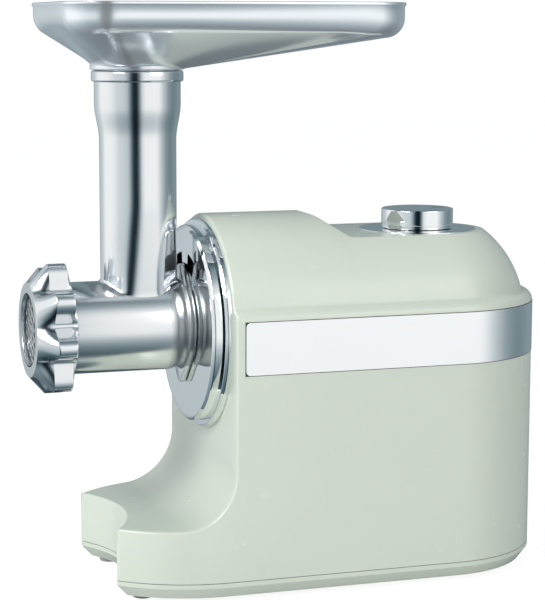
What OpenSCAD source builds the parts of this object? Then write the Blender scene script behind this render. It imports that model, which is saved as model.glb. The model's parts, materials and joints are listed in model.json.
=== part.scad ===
// Electric meat grinder: motor housing on two toes, twist-in grinding head, hopper tray.
// Frame: +Z up, the auger axis runs along X with the outlet towards -X, base on z = 0,
// and the origin lies under the middle of the whole machine.

/* [Housing] */
// Length of the housing from its front face to its round rear end
body_len = 241; // [200:1:300]
// Width of the lower body
body_w = 161; // [140:1:190]
// Wall thickness of the moulded shells
wall = 3; // [2:0.5:4]
// Height of the auger axis above the table
axis_z = 176.5; // [165:0.5:195]
// Radius of the round upper body
dome_r = 75; // [70:0.5:76]
// Height of the ledge where the round upper body meets the lower body
ledge_z = 194; // [193.5:0.5:198]
// Height of the flat deck that carries the control knob
deck_z = 236.5; // [230:0.5:243]
// Distance from the front face to the start of the step down to the deck
step_start = 69; // [40:1:80]
// Length of the step down to the deck
step_len = 26; // [20:1:32]

/* [Toes and base] */
// Height of the toes
toe_h = 49; // [40:1:60]
// Reach of the toes in front of the front face
toe_reach = 75; // [60:1:90]
// Distance of each toe tip from the middle
toe_half = 52.5; // [45:0.5:56]
// Depth of the hollow between the two toes
scallop_depth = 17; // [10:1:24]
// Radius of the blend between the toes and the front face
toe_fillet = 38; // [20:1:45]
// Distance behind the front face where the sides start to curve in to the toes
toe_start = -5; // [-12:1:-2]
// Height of the seam between housing and base cover
seam_z = 14; // [12:0.5:18]
// Width of the seam groove
seam_gap = 0.4; // [0.2:0.1:0.8]
// Height of the upright part of the base cover's skirt
skirt_h = 3; // [2:0.5:5]
// Inset of the chamfer under the base cover
base_chamfer = 5.5; // [4:0.5:9]
// Height of the rubber feet below the base cover
foot_h = 3; // [2:0.5:6]
// Radius of a rubber foot
foot_r = 7; // [5:0.5:8]

/* [Trim] */
// Height of the lower edge of the bright side band
band_z0 = 152; // [140:1:160]
// Height of the bright side band
band_h = 35; // [20:1:40]
// Thickness of the band
band_t = 1.5; // [1:0.1:2]
// How far the band stands proud of the body
band_proud = 0.3; // [0.1:0.1:0.5]
// Distance from the front face to the end of the band
band_start = 6; // [4:1:20]
// Radius of the band's corners
band_corner = 3; // [1:0.5:6]
// Radius of the bright disc in the deck
knob_disc_r = 41; // [34:0.5:42]
// Thickness of the bright disc
knob_disc_t = 1.2; // [0.8:0.1:2]
// Depth to which the bright disc is let into the deck
knob_disc_sink = 0.7; // [0.3:0.1:1]
// Radius of the control knob
knob_r = 25.3; // [18:0.1:30]
// Height of the control knob
knob_h = 13.5; // [10:0.5:20]
// Gap under the control knob
knob_gap = 0.4; // [0.3:0.1:1]

/* [Bezel and socket plate] */
// Radius of the bezel at the front face
bezel_r = 72; // [68:0.5:74]
// Depth of the bezel
bezel_d = 5; // [3:0.5:8]
// Radius of the front ring
ring_r = 67.5; // [60:0.5:68]
// Depth of the front ring
ring_d = 7.7; // [5:0.1:10]
// Taper of both rings
ring_taper = 2; // [0.5:0.5:4]
// Radius of the socket plate
plate_r = 64.4; // [58:0.1:64.8]
// Thickness of the socket plate
plate_t = 3; // [2:0.5:4]
// Inner radius of the bayonet slot
slot_r0 = 37.5; // [36:0.5:40]
// Outer radius of the bayonet slot
slot_r1 = 49; // [44:0.5:52]
// Half angle of the bayonet slot
slot_half = 28; // [26:1:34]
// Half angle of the narrow middle of the bayonet slot
slot_mid_half = 8.5; // [7:0.5:9]

/* [Grinding head] */
// Outer radius of the barrel
barrel_r = 31.1; // [28:0.1:32.5]
// Inner radius of the barrel
bore_r = 26.5; // [24:0.1:27]
// Radius of the threaded front end of the barrel
thread_r = 29.5; // [28.5:0.1:30.5]
// Length of the threaded front end of the barrel
thread_len = 22; // [15:0.5:24]
// Distance from the front face of the housing to the front end of the barrel
barrel_reach = 117; // [100:1:130]
// Thickness of the barrel's rear wall
rear_wall = 7; // [5:0.5:9]
// Radius of the spigot that enters the socket plate
spigot_r = 29.3; // [26:0.1:30]
// Radial clearance of a turning fit
run_gap = 0.05; // [0.02:0.01:0.1]
// Width of the groove in front of the rear flange
neck_w = 6; // [4:0.5:8]
// Thickness of the rear flange and of its lugs
flange_t = 4.2; // [3:0.1:6]
// Radius to which the two lugs reach
lug_r = 41; // [39:0.5:43]
// Radius of a lug's tip
lug_tip_r = 5; // [4:0.5:7]
// Outer radius of the catch behind the top lug
catch_r = 48; // [44:0.5:48.5]
// Half angle of the catch behind the top lug
catch_half = 6; // [4:1:6]
// Distance from the front face to the axis of the feed tube
tube_back = 45; // [44:1:60]
// Outer radius of the feed tube
tube_r = 26; // [22:0.5:26]
// Wall thickness of the feed tube
tube_wall = 5.6; // [4.5:0.1:6.5]
// Outer radius of the wide upper end of the feed tube
mouth_r = 29.1; // [28:0.1:30]
// Wall thickness of the wide upper end
mouth_wall = 3.3; // [3:0.1:4]
// Height where the feed tube starts to widen
taper_z0 = 306; // [290:1:310]
// Height where the feed tube stops widening
taper_z1 = 325; // [315:1:330]
// Height of the top of the feed tube
tube_top = 349; // [345:1:370]
// Radius of the lip at the top of the feed tube
lip_r = 31; // [30:0.1:33]
// Height of the lip at the top of the feed tube
lip_h = 7.5; // [4:0.5:10]
// Lean of the flats at the foot of the feed tube
flat_tilt = 3.6; // [1:0.1:4.2]
// Height of the rear flats above the auger axis
rear_flat_top = 76; // [50:1:90]
// Height of the front flats above the auger axis
front_flat_top = 54; // [40:1:70]
// Height above the auger axis where the two flats on the tube's sides start
side_flat_top = 84; // [70:1:90]

/* [Ring nut] */
// Outer radius of the ring nut
nut_r = 46; // [42:0.5:50]
// Number of lobes on the ring nut
nut_lobes = 8; // [6:1:9]
// Radius of each hollow between two lobes
nut_scallop_r = 11; // [10:0.5:16]
// Radius of the nut at the bottom of a hollow
nut_root_r = 33; // [32.5:0.1:36]
// Radius of the rim around the opening
nut_rim_r = 32; // [28:0.5:36]
// Radius of the opening
nut_open_r = 23.5; // [20:0.5:25]
// Length of the cone at the front of the lobes
nut_cone = 12.5; // [8:0.5:16]
// Slant of the rear ends of the lobes
nut_slant = 2.7; // [1:0.1:5]
// Distance from the front face of the housing to the front of the nut
nut_reach = 122; // [112:1:140]
// Turn of the lobes about the axis
nut_phase = 11; // [-20:0.5:20]

/* [Cutting parts] */
// Thickness of the cutting plate
disc_t = 5; // [4:0.5:7]
// Radius of each hole in the cutting plate
disc_hole_r = 2.2; // [1.5:0.1:3]
// Distance between neighbouring holes
disc_pitch = 6.6; // [5.5:0.1:8]
// Thickness of the knife
knife_t = 4; // [3:0.5:6]
// Reach of the knife's blades
knife_r = 24; // [18:0.5:25]
// Radius of the auger over its flight
auger_r = 25.6; // [22:0.1:26]
// Radius of the auger's core
auger_core = 11; // [9:0.5:14]
// Pitch of the auger
auger_pitch = 30; // [24:1:40]
// Radius of the auger's front pin
pin_r = 4; // [3:0.5:5]

/* [Hopper tray] */
// Length of the tray
tray_l = 236; // [180:1:260]
// Width of the tray
tray_w = 150; // [120:1:170]
// Distance from the feed tube's axis to the tray's front end
tray_front = 62; // [55:1:80]
// Height of the tray's rim above its flange
tray_h = 44.5; // [36:0.5:55]
// Height of the crease between the tray's side and its sloping floor above its flange
tray_crease = 21; // [15:0.5:26]
// Sheet thickness of the tray
tray_t = 1.5; // [1:0.1:2]
// Corner radius of the tray in plan
tray_corner = 32; // [20:1:45]
// Slope of the tray's sides from rim to crease
tray_draft = 4; // [2:0.5:10]
// Width of the tray's folded rim
rim_w = 1.5; // [1:0.1:3]
// Radius of the flange on which the tray rests
tray_flange_r = 31.8; // [31:0.1:34]
// Thickness of the flange on which the tray rests
tray_flange_t = 4; // [2:0.5:6]
// Gap between the tray's flange and the feed tube
tray_gap = 0.5; // [0.3:0.1:1]
// Depth of the tray's spigot inside the feed tube
tray_spigot = 12; // [8:1:16]
// Radial clearance of the tray's spigot
tray_clear = 0.5; // [0.3:0.1:1]

/* [Drive] */
// Module of the slow gear pair
slow_module = 2; // [1.5:0.25:2.25]
// Teeth of the output gear
output_teeth = 42; // [36:1:44]
// Module of the fast gear pair
fast_module = 1.25; // [1:0.25:1.5]
// Teeth of the large gear on the countershaft
counter_teeth = 60; // [50:1:62]
// Teeth of both pinions
pinion_teeth = 12; // [12:2:14]
// Pressure angle of the teeth
pressure_angle = 25; // [20:1:28]
// Share of the tooth width left after backlash
tooth_share = 0.9; // [0.8:0.01:0.95]
// Width of the slow gears
slow_w = 12; // [8:1:14]
// Width of the fast gears
fast_w = 8; // [6:1:10]
// Radius of the output shaft
output_shaft_r = 8; // [6:0.5:10]
// Radius of the countershaft
counter_shaft_r = 5; // [4:0.5:6]
// Radius of the motor shaft
motor_shaft_r = 4; // [3:0.5:5]
// Wall of the gearbox
case_wall = 4; // [3:0.5:5]
// Distance from the front face to the gearbox
case_start = 6; // [4:0.5:12]

/* [Motor] */
// Width of the motor's core
core_w = 86; // [70:1:96]
// Height of the motor's core
core_h = 72; // [60:1:80]
// Length of the motor's core
core_l = 46; // [36:1:56]
// Radius of the armature
armature_r = 23; // [18:0.5:26]
// Air gap between armature and core
air_gap = 0.6; // [0.4:0.1:1]
// Distance from the gearbox to the motor's core
core_offset = 34; // [28:1:44]
// Radius of the cooling fan
fan_r = 33; // [26:1:36]
// Thickness of the motor's end frames
frame_t = 4; // [3:0.5:6]

/* [Fixings] */
// Radius of a screw's shank
screw_r = 2; // [1.5:0.1:2.5]
// Radius of a screw's head
screw_head_r = 4; // [3:0.1:5]
// Height of a screw's head
screw_head_h = 2.5; // [2:0.1:4]

/* [Hidden] */
$fn = 96;
eps = 0.01;
big = 600;

half_w = body_w / 2;
front_x = (nut_reach - body_len) / 2;
rear_x = front_x + body_len;
dome_x = rear_x - half_w;
base_z = foot_h;
skirt_z = seam_z - seam_gap - skirt_h;
top_z = axis_z + dome_r;
shoulder_l = 6;
shoulder_z = ledge_z - shoulder_l;

toe_bend_x = front_x + toe_start;
toe_side_r = (pow(toe_reach + toe_start, 2) + pow(half_w - toe_half, 2)) / (2 * (half_w - toe_half));
scallop_r = (pow(toe_half, 2) + pow(scallop_depth, 2)) / (2 * scallop_depth);
scallop_x = front_x - toe_reach + scallop_depth - scallop_r;

step_drop = top_z - deck_z;
step_arc_r = (pow(step_len, 2) + pow(step_drop, 2)) / (4 * step_drop);
step_arc_a = asin(step_len / 2 / step_arc_r);
step_parts = 8;

knob_x = dome_x - 1.5;
knob_z0 = deck_z - knob_disc_sink + knob_disc_t + knob_gap;
switch_top = deck_z - wall - 4;
switch_h = 22;
switch_r = 16;
tag_w = 5;
tag_l = 7;
spindle_r = 3;
spindle_in = 6;
knob_edge = 1.5;
knob_wall = 3;
mark_l = 9;
mark_w = 1.6;
mark_d = 0.6;

ring_x0 = front_x - bezel_d - ring_d;
plate_x0 = ring_x0 + 0.3;
plate_x1 = plate_x0 + plate_t;
post_r = 4;
post_angles = [20, 160, 200, 340];
plate_bore_r = spigot_r + run_gap;

tube_x = front_x - tube_back;
barrel_x0 = front_x - barrel_reach;
flange_x1 = plate_x0 - 0.3;
flange_x0 = flange_x1 - flange_t;
neck_x0 = flange_x0 - neck_w;
spigot_x1 = front_x - 5;
catch_x1 = plate_x1 + 3;
chamber_x1 = neck_x0 - 1;
spigot_hole_r = 22;
journal_r = 9;
rear_flat_turn = 48;
front_flat_turn = 140;
side_flat_turn = 92;

nut_x0 = front_x - nut_reach;
nut_x1 = barrel_x0 + thread_len;
nut_l = nut_x1 - nut_x0;
disc_x0 = barrel_x0 - 2;
disc_x1 = disc_x0 + disc_t;
lip_gap = 0.3;
knife_x0 = disc_x1 + 0.2;
knife_x1 = knife_x0 + knife_t;
auger_x0 = knife_x1;
auger_x1 = chamber_x1 - 0.5;
square_w = 9;
flight_w = 9;
knife_hub_r = 10;
blade_w = 8;
hex_r = 7;
hex_x1 = front_x - 4;
journal_x1 = chamber_x1 + rear_wall + 1;
socket_x0 = front_x - 13;
socket_x1 = front_x + 3;
socket_r = 13;
hex_gap = 0.2;

tray_z0 = tube_top + tray_gap;
tray_top = tray_z0 + tray_h;
tray_x0 = tube_x - tray_front;
tray_x1 = tray_x0 + tray_l;
mouth_in_r = mouth_r - mouth_wall;
tube_in_r = tube_r - tube_wall;
throat_r = mouth_in_r - tray_clear - tray_t;

case_x0 = front_x + case_start;
cover_x1 = case_x0 + case_wall;
slow_x0 = cover_x1 + 2;
slow_x1 = slow_x0 + slow_w;
fast_x0 = slow_x1 + 2;
fast_x1 = fast_x0 + fast_w;
case_x1 = fast_x1 + 2 + case_wall;
slow_dist = slow_module * (output_teeth + pinion_teeth) / 2;
fast_dist = fast_module * (counter_teeth + pinion_teeth) / 2;
counter_z = axis_z - slow_dist;
motor_z = counter_z - fast_dist;
output_case_r = slow_module * output_teeth / 2 + slow_module + 3 + case_wall;
counter_case_r = fast_module * counter_teeth / 2 + fast_module + 3 + case_wall;
pinion_case_r = fast_module * pinion_teeth / 2 + fast_module + 4 + case_wall;
bush_wall = 2.5;
post_ring_r = output_case_r + post_r + 0.4;
ear_l = 14;
bezel_hole_r = post_ring_r + post_r + 1;

core_x0 = case_x1 + core_offset;
core_x1 = core_x0 + core_l;
bearing_r = 11;
bearing_w = 7;
coil_out = 9;
coil_w = 10;
coil_half = 21;
coil_side_h = 8;
coil_gap = 0.5;
pole_r = armature_r + air_gap;
coil_y0 = [pole_r + coil_gap, -pole_r - coil_gap - coil_w];
front_frame_x = core_x0 - coil_out - bearing_w - 2;
fan_l = 8;
fan_hub_r = 9;
fan_x0 = front_frame_x - fan_l - 4;
rear_frame_x = core_x1 + 34;
commutator_x0 = core_x1 + 12;
commutator_l = 14;
commutator_r = 13;
brush_x = commutator_x0 + commutator_l / 2;
brush_l = 16;
stud_y = core_w / 2 - 7;
stud_z = core_h / 2 - 7;
stud_r = 2.5;
arm_w = 14;
foot_post_r = 6;
floor_top = base_z + wall;

skirt_in = base_chamfer + 1;
boss_gap = 6;
housing_boss_z1 = seam_z + boss_gap + 30;
rib_t = 4;
foot_sink = 1.5;
base_screw_l = 26;
vents = 4;
vent_w = 4;
vent_l = 44;

feet_at = [[front_x - 56, -47], [front_x - 56, 47], [dome_x + 34, -50], [dome_x + 34, 50]];
screws_at = [[front_x + 8, -66], [front_x + 8, 66], [dome_x + 8, -66], [dome_x + 8, 66]];
boss_r = 5;
gland_z = 34;
gland_r = 8;
gland_bore_r = 3.6;
board_x0 = dome_x - 8;
board_l = 50;
board_w = 44;
board_z = floor_top + 8;

cream = [0.87, 0.885, 0.84];
satin = [0.86, 0.87, 0.875];
chrome = [0.9, 0.91, 0.92];

// ---------- helpers ----------

// Turns something drawn upwards so that it runs along +X from x, at height z.
module along_x(x, z = axis_z) {
    translate([x, 0, z]) rotate([0, 90, 0]) children();
}

// Rod along X from x0 to x1.
module rod_x(x0, x1, r, z = axis_z) {
    along_x(x0, z) cylinder(h = x1 - x0, r = r);
}

// Ring along X from x0 to x1.
module tube_x(x0, x1, r_out, r_in, z = axis_z) {
    difference() {
        rod_x(x0, x1, r_out, z);
        rod_x(x0 - eps, x1 + eps, r_in, z);
    }
}

// Square bar along X from x0 to x1.
module square_x(x0, x1) {
    translate([x0, -square_w / 2, axis_z - square_w / 2]) cube([x1 - x0, square_w, square_w]);
}

// Six-sided bar along X from x0 to x1.
module hex_x(x0, x1, r) {
    along_x(x0) rotate([0, 0, 30]) cylinder(h = x1 - x0, r = r, $fn = 6);
}

// Solid on the housing's outline: inset by in0 at height z0 and by in1 at height z1.
module outline_solid(z0, z1, in0, in1) {
    h = z1 - z0;
    translate([dome_x, 0, z0]) cylinder(h = h, r1 = half_w - in0, r2 = half_w - in1);
    translate([toe_bend_x, 0, 0]) rotate([90, 0, 90]) linear_extrude(dome_x - toe_bend_x)
        polygon([[-half_w + in0, z0], [half_w - in0, z0], [half_w - in1, z1], [-half_w + in1, z1]]);
    difference() {
        intersection() {
            for_side(z0, h, in0, in1, 1);
            for_side(z0, h, in0, in1, -1);
            translate([toe_bend_x - toe_reach, -half_w, z0]) cube([toe_reach + eps, body_w, h]);
        }
        translate([scallop_x, 0, z0 - eps])
            cylinder(h = h + 2 * eps, r1 = scallop_r + in0, r2 = scallop_r + in1);
    }
}

// Disc that bounds one side of the toes.
module for_side(z0, h, in0, in1, side) {
    translate([toe_bend_x, side * (toe_side_r - half_w), z0])
        cylinder(h = h, r1 = toe_side_r - in0, r2 = toe_side_r - in1);
}

// Side view of the lower body, inset by in: toes, blend and front face.
module side_profile(in, z0) {
    blend_r = toe_fillet + in;
    difference() {
        translate([front_x - toe_reach, z0]) square([toe_reach + body_len, ledge_z - in - z0]);
        translate([front_x - big, toe_h - in]) square([big - toe_fillet, big]);
        translate([front_x - big, toe_h + toe_fillet]) square([big + in, big]);
        translate([front_x - toe_fillet, toe_h + toe_fillet]) circle(r = blend_r);
    }
}

// Points of the step from the round top down to the deck.
function step_points(in) = [
    for (i = [0 : step_parts]) let (a = step_arc_a * i / step_parts)
        [front_x + step_start + step_arc_r * sin(a), top_z - in - step_arc_r * (1 - cos(a))],
    for (i = [1 : step_parts]) let (a = step_arc_a * (1 - i / step_parts))
        [front_x + step_start + step_len - step_arc_r * sin(a), deck_z - in + step_arc_r * (1 - cos(a))]];

// Everything above the round top, the step and the deck.
module deck_cut(in) {
    rotate([90, 0, 0]) translate([0, 0, -body_w / 2]) linear_extrude(body_w)
        polygon(concat(step_points(in), [[rear_x, deck_z - in], [rear_x, top_z + wall],
            [front_x + step_start, top_z + wall]]));
}

// Solid form of the housing, inset by in.
module housing_form(in, z0) {
    intersection() {
        union() {
            outline_solid(z0, shoulder_z, in, in);
            outline_solid(shoulder_z - eps, ledge_z - shoulder_l / 3 - in, in, in + shoulder_l / 3);
            outline_solid(ledge_z - shoulder_l / 3 - in - eps, ledge_z - in,
                in + shoulder_l / 3, in + shoulder_l);
        }
        rotate([90, 0, 0]) translate([0, 0, -body_w / 2]) linear_extrude(body_w) side_profile(in, z0);
    }
    difference() {
        union() {
            along_x(front_x + in) cylinder(h = dome_x - front_x - in, r = dome_r - in);
            translate([dome_x, 0, axis_z]) sphere(r = dome_r - in);
        }
        deck_cut(in);
    }
}

// Strip of the side band's outline between two offsets from the body's side.
module band_strip(out, in) {
    difference() {
        intersection() {
            outline_solid(band_z0, band_z0 + band_h, -out, -out);
            band_window();
        }
        outline_solid(band_z0 - eps, band_z0 + band_h + eps, in, in);
    }
}

// Block with rounded front corners that trims the band.
module band_window() {
    x0 = front_x + band_start;
    rotate([90, 0, 0]) translate([0, 0, -body_w]) linear_extrude(2 * body_w) {
        translate([x0 + band_corner, band_z0]) square([body_len, band_h]);
        translate([x0, band_z0 + band_corner]) square([body_len, band_h - 2 * band_corner]);
        translate([x0 + band_corner, band_z0 + band_corner]) circle(r = band_corner);
        translate([x0 + band_corner, band_z0 + band_h - band_corner]) circle(r = band_corner);
    }
}

// Sector of a ring around the auger axis, centred on the top or bottom.
module arc_block(x0, x1, r0, r1, half, mid) {
    translate([x0, 0, axis_z]) rotate([90, 0, 90]) rotate([0, 0, mid - half])
        rotate_extrude(angle = 2 * half) translate([r0, 0]) square([r1 - r0, x1 - x0]);
}

// Places something drawn on the auger axis at the post with angle a.
module at_post(a) {
    translate([0, post_ring_r * cos(a), post_ring_r * sin(a)]) children();
}

// Rounded rectangle from squares and circles.
module round_rect(x0, x1, w, r) {
    translate([x0 + r, -w / 2]) square([x1 - x0 - 2 * r, w]);
    translate([x0, -w / 2 + r]) square([x1 - x0, w - 2 * r]);
    for (x = [x0 + r, x1 - r], y = [-w / 2 + r, w / 2 - r]) translate([x, y]) circle(r = r);
}

function inv(a) = tan(a) * 180 / PI - a;
function tooth_half(r, n, m) = let (rb = n * m / 2 * cos(pressure_angle), q = max(r, rb))
    90 / n * tooth_share + inv(pressure_angle) - inv(acos(rb / q));

// Outline of a spur gear with one tooth centred on +X of its own plane.
function gear_points(n, m) = let (
    r_tip = n * m / 2 + 0.8 * m,
    r_root = n * m / 2 - 1.1 * m,
    r_base = max(r_root, n * m / 2 * cos(pressure_angle)),
    flank = [r_root, r_base + 0.02 * m, (r_base + r_tip) / 2, (r_base + 3 * r_tip) / 4, r_tip])
    [for (i = [0 : n - 1], side = [-1, 1], k = [0 : 4]) let (
        r = flank[side < 0 ? k : 4 - k],
        a = 360 / n * i + side * tooth_half(r, n, m))
        [r * cos(a), r * sin(a)]];

// Gear along X from x0 with n teeth and, if hole_r is over 0, a shaft hole.
module gear(x0, w, n, m, hole_r, z, turn = 0) {
    along_x(x0, z) rotate([0, 0, turn]) difference() {
        linear_extrude(w) polygon(gear_points(n, m));
        if (hole_r > 0) translate([0, 0, -eps]) cylinder(h = w + 2 * eps, r = hole_r);
    }
}

// Outline of the gearbox in its own plane, grown by out.
module case_outline(out) {
    circle(r = output_case_r - case_wall + out);
    translate([slow_dist, 0]) circle(r = counter_case_r - case_wall + out);
    translate([slow_dist + fast_dist, 0]) circle(r = pinion_case_r - case_wall + out);
    side_w = 2 * (counter_case_r - case_wall + out);
    translate([0, -side_w / 2]) square([slow_dist, side_w]);
    low_w = 2 * (pinion_case_r - case_wall + out);
    translate([slow_dist, -low_w / 2]) square([fast_dist, low_w]);
}

// Upright post at plan position p from z0 to z1.
module post_up(p, z0, z1, r) {
    translate([p[0], p[1], z0]) cylinder(h = z1 - z0, r = r);
}

// ---------- housing and trim ----------

module housing() {
    color(cream) difference() {
        union() {
            difference() {
                housing_form(0, seam_z);
                difference() {
                    housing_form(wall, seam_z - 1);
                    translate([front_x - wall, -half_w, toe_h + toe_fillet]) cube([2 * wall, body_w, big]);
                }
            }
            for (p = screws_at) {
                post_up(p, seam_z + boss_gap, housing_boss_z1, boss_r);
                translate([p[0] - rib_t / 2, p[1] > 0 ? p[1] : 1 - half_w, seam_z + boss_gap])
                    cube([rib_t, half_w - 1 - abs(p[1]), housing_boss_z1 - seam_z - boss_gap]);
            }
            post_up([knob_x, 0], switch_top, deck_z - wall + 1, switch_r);
        }
        rod_x(front_x - 1, front_x + wall + 1, bezel_hole_r);
        band_strip(1, band_t - band_proud);
        post_up([knob_x, 0], deck_z - knob_disc_sink, top_z, knob_disc_r);
        post_up([knob_x, 0], switch_top - 1, top_z, spindle_r + 1);
        rod_x(dome_x, rear_x + 1, gland_r - 2, gland_z);
        for (p = screws_at) post_up(p, seam_z, housing_boss_z1 - 3, screw_r);
    }
}

module base_cover() {
    color(cream) difference() {
        union() {
            difference() {
                union() {
                    outline_solid(base_z, skirt_z, base_chamfer, 0);
                    outline_solid(skirt_z - eps, seam_z - seam_gap, 0, 0);
                }
                outline_solid(floor_top, seam_z + 1, skirt_in, skirt_in);
            }
            difference() {
                outline_solid(floor_top - 1, seam_z + 3, skirt_in - 0.8, skirt_in - 0.8);
                outline_solid(floor_top, seam_z + 4, skirt_in + 2, skirt_in + 2);
            }
            for (p = screws_at) post_up(p, base_z, seam_z + boss_gap, boss_r);
            for (x = [front_frame_x, rear_frame_x], y = [-stud_y, stud_y])
                post_up([x + frame_t / 2, y], floor_top - 1, motor_z - core_h / 2, foot_post_r);
            for (x = [board_x0 + 5, board_x0 + board_l - 5], y = [-board_w / 2 + 5, board_w / 2 - 5])
                post_up([x, y], floor_top - 1, board_z, 3);
        }
        for (p = screws_at) {
            post_up(p, base_z - 1, base_z + 2, screw_head_r + 0.4);
            post_up(p, base_z - 1, housing_boss_z1, screw_r);
        }
        for (p = feet_at) post_up(p, base_z - 1, base_z + foot_sink, foot_r);
        for (i = [-vents : vents])
            translate([core_x0 + core_l / 2 + 2 * vent_w * i - vent_w / 2, -vent_l / 2, base_z - 1])
                cube([vent_w, vent_l, wall + 2]);
    }
}

module rubber_feet() {
    color("dimgray") for (p = feet_at) translate([p[0], p[1], 0]) rotate_extrude()
        polygon([[0, 0], [foot_r - 1, 0], [foot_r, base_z], [foot_r, base_z + foot_sink],
            [0, base_z + foot_sink]]);
}

module base_screws() {
    color("silver") for (p = screws_at) {
        post_up(p, base_z + 2 - screw_head_h, base_z + 2, screw_head_r);
        post_up(p, base_z + 1, base_z + base_screw_l, screw_r);
    }
}

module side_band() {
    color(satin) band_strip(band_proud, band_t - band_proud);
}

module bezel_ring() {
    color(chrome) difference() {
        along_x(front_x - bezel_d) cylinder(h = bezel_d, r1 = bezel_r - ring_taper, r2 = bezel_r);
        rod_x(front_x - bezel_d - 1, front_x + 1, bezel_hole_r + 1);
    }
}

module front_ring() {
    color(chrome) difference() {
        along_x(ring_x0) cylinder(h = ring_d, r1 = ring_r - ring_taper, r2 = ring_r);
        rod_x(ring_x0 - 1, plate_x1, plate_r);
        rod_x(plate_x1 - 1, front_x, plate_r - 4);
    }
}

module socket_plate() {
    color(chrome) difference() {
        union() {
            rod_x(plate_x0, plate_x1, plate_r);
            rod_x(plate_x0 + 1, front_x - 2, plate_bore_r + 3);
            for (a = post_angles) at_post(a) rod_x(plate_x0 + 1, case_x0, post_r);
        }
        rod_x(plate_x0 - 1, front_x, plate_bore_r);
        difference() {
            arc_block(plate_x0 - 1, plate_x1 + 1, slot_r0, slot_r1, slot_half, 90);
            arc_block(plate_x0 - 2, plate_x1 + 2, lug_r + 0.5, slot_r1 + 1, slot_mid_half, 90);
        }
    }
}

module knob_disc() {
    z0 = deck_z - knob_disc_sink;
    color(chrome) difference() {
        post_up([knob_x, 0], z0, z0 + knob_disc_t, knob_disc_r);
        post_up([knob_x, 0], z0 - 1, z0 + knob_disc_t + 1, spindle_r + 1);
    }
}

// ---------- control ----------

module control_knob() {
    color(chrome) translate([knob_x, 0, knob_z0]) difference() {
        rotate_extrude() polygon([[0, 0], [knob_r, 0], [knob_r, knob_h - knob_edge],
            [knob_r - knob_edge, knob_h], [0, knob_h]]);
        translate([0, 0, -1]) cylinder(h = 4, r = knob_r - knob_wall);
        cylinder(h = knob_h - knob_wall, r = spindle_r);
        translate([knob_wall - knob_r, -mark_w / 2, knob_h - mark_d]) cube([mark_l, mark_w, 2]);
    }
}

module knob_spindle() {
    color("silver") post_up([knob_x, 0], switch_top - spindle_in, knob_z0 + knob_h - knob_wall, spindle_r);
}

module rotary_switch() {
    color("ivory") difference() {
        union() {
            post_up([knob_x, 0], switch_top - switch_h, switch_top, switch_r - 1);
            for (y = [-8, 0, 8]) translate([knob_x - 1, y - tag_w / 2, switch_top - switch_h - tag_l])
                cube([0.8, tag_w, tag_l + 1]);
        }
        post_up([knob_x, 0], switch_top - spindle_in - 2, switch_top + 1, spindle_r + run_gap);
    }
}

// ---------- gearbox ----------

module gearbox_case() {
    color("gainsboro") difference() {
        along_x(cover_x1) difference() {
            linear_extrude(case_x1 - cover_x1) case_outline(case_wall);
            translate([0, 0, -1]) linear_extrude(case_x1 - cover_x1 - case_wall + 1) case_outline(0);
        }
        rod_x(case_x1 - case_wall - 1, case_x1 + 1, output_shaft_r + bush_wall);
        rod_x(case_x1 - case_wall - 1, case_x1 + 1, counter_shaft_r + bush_wall, counter_z);
        rod_x(case_x1 - case_wall - 1, case_x1 + 1, pinion_case_r - case_wall, motor_z);
    }
}

module gearbox_cover() {
    color("gainsboro") difference() {
        along_x(case_x0) linear_extrude(case_wall) case_outline(case_wall);
        rod_x(case_x0 - 1, cover_x1 + 1, output_shaft_r + bush_wall);
        rod_x(case_x0 - 1, cover_x1 + 1, counter_shaft_r + bush_wall, counter_z);
    }
    color("gainsboro") for (a = post_angles) gearbox_ear(a);
}

// Arm of the gearbox cover that meets one post of the socket plate.
module gearbox_ear(a) {
    y = post_ring_r * cos(a);
    translate([case_x0, min(y, y - sign(y) * ear_l), axis_z + post_ring_r * sin(a) - post_r - 1])
        cube([case_wall, ear_l, 2 * post_r + 2]);
    at_post(a) rod_x(case_x0, cover_x1, post_r + 1);
}

module gearbox_screws() {
    color("silver") for (a = post_angles) at_post(a) rod_x(cover_x1, cover_x1 + screw_head_h, screw_head_r);
}

module output_bushes() {
    color("peru") for (x = [case_x0, case_x1 - case_wall])
        tube_x(x, x + case_wall, output_shaft_r + bush_wall, output_shaft_r + run_gap);
}

module counter_bushes() {
    color("peru") for (x = [case_x0, case_x1 - case_wall])
        tube_x(x, x + case_wall, counter_shaft_r + bush_wall, counter_shaft_r + run_gap, counter_z);
}

module output_gear() {
    color("darkgray") gear(slow_x0, slow_w, output_teeth, slow_module, output_shaft_r, axis_z);
}

module output_shaft() {
    color("silver") rod_x(socket_x1, case_x1 + 4, output_shaft_r);
}

module drive_socket() {
    color("silver") difference() {
        rod_x(socket_x0, socket_x1, socket_r);
        hex_x(socket_x0 - 1, hex_x1 + 1, hex_r + hex_gap);
    }
}

module counter_gear() {
    color("darkgray") difference() {
        union() {
            gear(fast_x0, fast_w, counter_teeth, fast_module, 0, counter_z);
            gear(slow_x0, slow_w, pinion_teeth, slow_module, 0, counter_z, 180 / pinion_teeth);
            rod_x(slow_x1 - 1, fast_x0 + 1, counter_shaft_r + 3, counter_z);
        }
        rod_x(slow_x0 - 1, fast_x1 + 1, counter_shaft_r, counter_z);
    }
}

module counter_shaft() {
    color("silver") rod_x(case_x0, case_x1, counter_shaft_r, counter_z);
}

// ---------- motor ----------

module motor_pinion() {
    color("silver")
        gear(fast_x0, fast_w, pinion_teeth, fast_module, motor_shaft_r, motor_z, 180 / pinion_teeth);
}

module motor_shaft() {
    color("silver") rod_x(fast_x0, rear_frame_x + frame_t + 6, motor_shaft_r, motor_z);
}

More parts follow.
